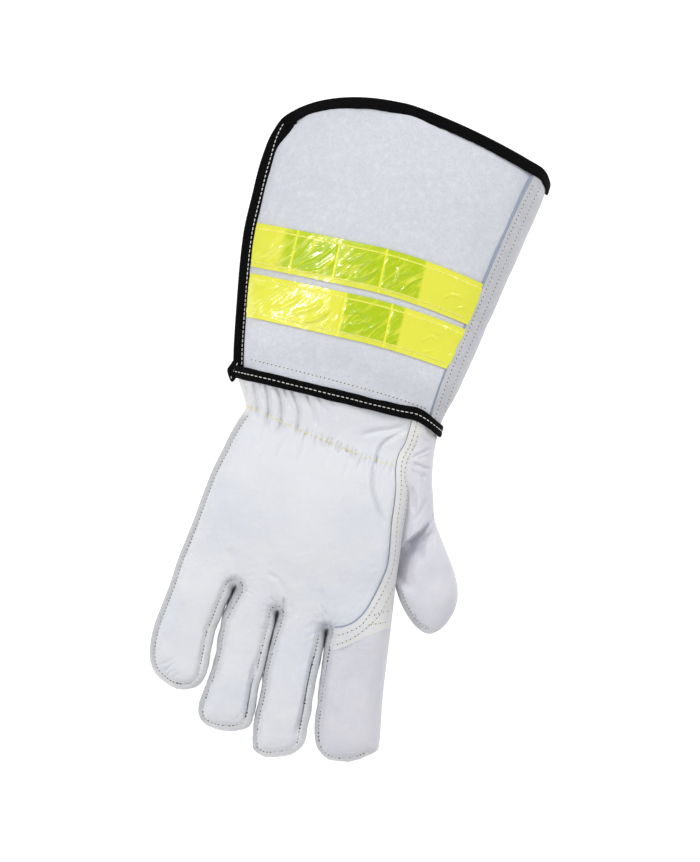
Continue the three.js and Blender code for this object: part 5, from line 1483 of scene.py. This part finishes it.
# cuff: a pinhole row above the wrist binding and two beside the lapped edge
cuffRows = [[(-66, 27.2), (-40, 26.4), (-10, 25.4), (20, 23.6), (40, 21.4)]]
for offset in (3.0, 7.4):
    cuffRows.append([(x + offset, y) for y, x in cuffLap if y < 165])
thumbRow = thumbSeam[thumbSeam[:, 1] < -84]  # the thumb's lower left edge
holes = {}
for kind, trees, rows in (("band", handTrees, bandRows), ("cuff", cuffTrees, cuffRows),
                          ("thumb", thumbTrees, [thumbRow])):
    holes[kind] = []
    for row in rows:
        rowEnds, rowHoles = rowStitches(np.array(row), trees, *sewing[kind])
        creamEnds += rowEnds
        holes[kind] += rowHoles
stitchPiece("seam_stitches", capsules(creamEnds, sewing["thread"]), creamThread)
stitchPiece("shirring_stitches", capsules(shirringEnds, sewing["shirringThread"]), yellowThread)
verts, faces = dimples(holes["band"] + holes["thumb"] + holes["cuff"], sewing["hole"])
more, moreFaces = dimples(seamHoles, sewing["seamHole"])
faces += [tuple(k + len(verts) for k in f) for f in moreFaces]
stitchPiece("needle_holes", (np.vstack([verts, more]), faces), holeShade)
tapeTrees = treeOf(tapeSurfaces)
tapeEnds = []
for row in tapeSewing:
    tapeEnds += rowStitches(row, tapeTrees, *sewing["tape"])[0]
stitchPiece("tape_stitches", capsules(tapeEnds, sewing["tapeThread"]), paleThread)

# white lockstitch on the side binding, on the wrist binding and on the folded foot
step, whiteLength = sewing["path"], 1.8
whiteEnds = []
outerZ = cuff["finHalf"] + cuff["wall"] / 2 + 0.1 + binding["gap"] + binding["tape"] + 0.12
for sign in (1, -1):
    left = (len(sideLine) - 1 - np.arange(len(sideLine))) * binding["step"]
    inset = binding["width"] * (0.3 + 0.42 * smoothstep(left, 6, 34))
    path = sideLine + sideFirst * inset[:, None] + sideSecond * sign * outerZ
    path = resample(path[path[:, 1] < 166.5], step)
    for at in np.arange(2, len(path) * step - 3, 2.6):
        i, j = int(at / step), int((at + whiteLength) / step)
        whiteEnds.append((path[i], path[min(j, len(path) - 1)], (0, 0, sign)))
top = bandCentres + bandSecond * (high - 0.05)
top[:, 2] += 1.1 * hump * bandSecond[:, 2]
loopTop = resample(np.vstack([top, top[:1]]), step)
for at in np.arange(0, len(loopTop) * step - 2, 2.7):
    i, j = int(at / step), min(int((at + whiteLength) / step), len(loopTop) - 1)
    k = int(i / len(loopTop) * len(top))
    whiteEnds.append((loopTop[i], loopTop[j], bandSecond[min(k, len(top) - 1)]))
knotTrees = treeOf([tailSurface])
for x, y, dx, dy in ((-71.8, 20.3, 1.5, -0.3), (-72.6, 19.2, 0.7, 1.2), (-71.2, 18.4, 1.3, 0.9),
                     (-73, 14.2, -0.4, 1.2), (-71.8, 22.2, 0.2, 1.5)):
    a, b = dropOn(knotTrees, [(x, y), (x + dx, y + dy)])
    if a and b:
        whiteEnds.append((a[0], b[0], a[1]))
stitchPiece("white_lockstitch", capsules(whiteEnds, sewing["thread"]), whiteThread)


# metres, watts and degrees; lights: across, along, height, size, power
studio = {"distance": 2.0, "tilt": 12.5, "frameHeight": 0.49565, "aim": (0.12, -0.56), "plane": 0.022,
          "floorHalf": 3.0, "floorLevel": -0.0002, "sky": (0.97, 0.98, 1.0, 1), "skyStrength": 0.34}
lamps = {"keySoftbox": (1.05, 0.75, 1.1, (0.8, 0.8), 13), "fillSoftbox": (-1.1, -0.3, 1.3, (1.4, 1.4), 7),
         "topSoftbox": (-0.3, 1.4, 1.3, (1.4, 0.8), 4.5), "footSoftbox": (-0.1, -1.5, 0.9, (1.4, 0.7), 4),
         "gleamSoftbox": (-0.8, 0.38, 1.07, (0.28, 0.28), 4.6)}
stage = bpy.context.scene

floorMesh = bpy.data.meshes.new("floor")
size, level = studio["floorHalf"], studio["floorLevel"]
floorMesh.from_pydata([(-size, -size, level), (size, -size, level), (size, size, level), (-size, size, level)], [],
                      [(0, 1, 2, 3)])
floorMesh.materials.append(paperFloor("paperFloor", "#b8b8b8"))
floor = bpy.data.objects.new("floor", floorMesh)
stage.collection.objects.link(floor)

tilt = math.radians(studio["tilt"])
camera = bpy.data.objects.new("camera", bpy.data.cameras.new("camera"))
camera.data.sensor_width = 36
camera.data.lens = 36 * studio["distance"] / studio["frameHeight"]
camera.data.clip_end = 20
aim = (np.array([*studio["aim"], 0]) + patternShift) * 0.001
camera.location = (aim[0], aim[1], studio["plane"] + studio["distance"])
camera.rotation_euler = (0, 0, tilt)
stage.collection.objects.link(camera)
stage.camera = camera

# the softboxes stand round the picture as the camera sees it
right = np.array([math.cos(tilt), math.sin(tilt), 0])
upImage = np.array([-math.sin(tilt), math.cos(tilt), 0])
for name, (across, along, height, extent, watts) in lamps.items():
    data = bpy.data.lights.new(name, "AREA")
    data.shape = "RECTANGLE"
    data.size, data.size_y = extent
    data.energy = watts
    lamp = bpy.data.objects.new(name, data)
    lamp.location = right * across + upImage * along + np.array([0, 0, height])
    lamp.rotation_euler = (-lamp.location).to_track_quat("-Z", "Y").to_euler()
    stage.collection.objects.link(lamp)

world = bpy.data.worlds.new("studio")
world.use_nodes = True
background = world.node_tree.nodes["Background"]
background.inputs[0].default_value = studio["sky"]
background.inputs[1].default_value = studio["skyStrength"]
stage.world = world
bpy.context.scene.world = world
stage.view_settings.view_transform = "Standard"
print("studio")
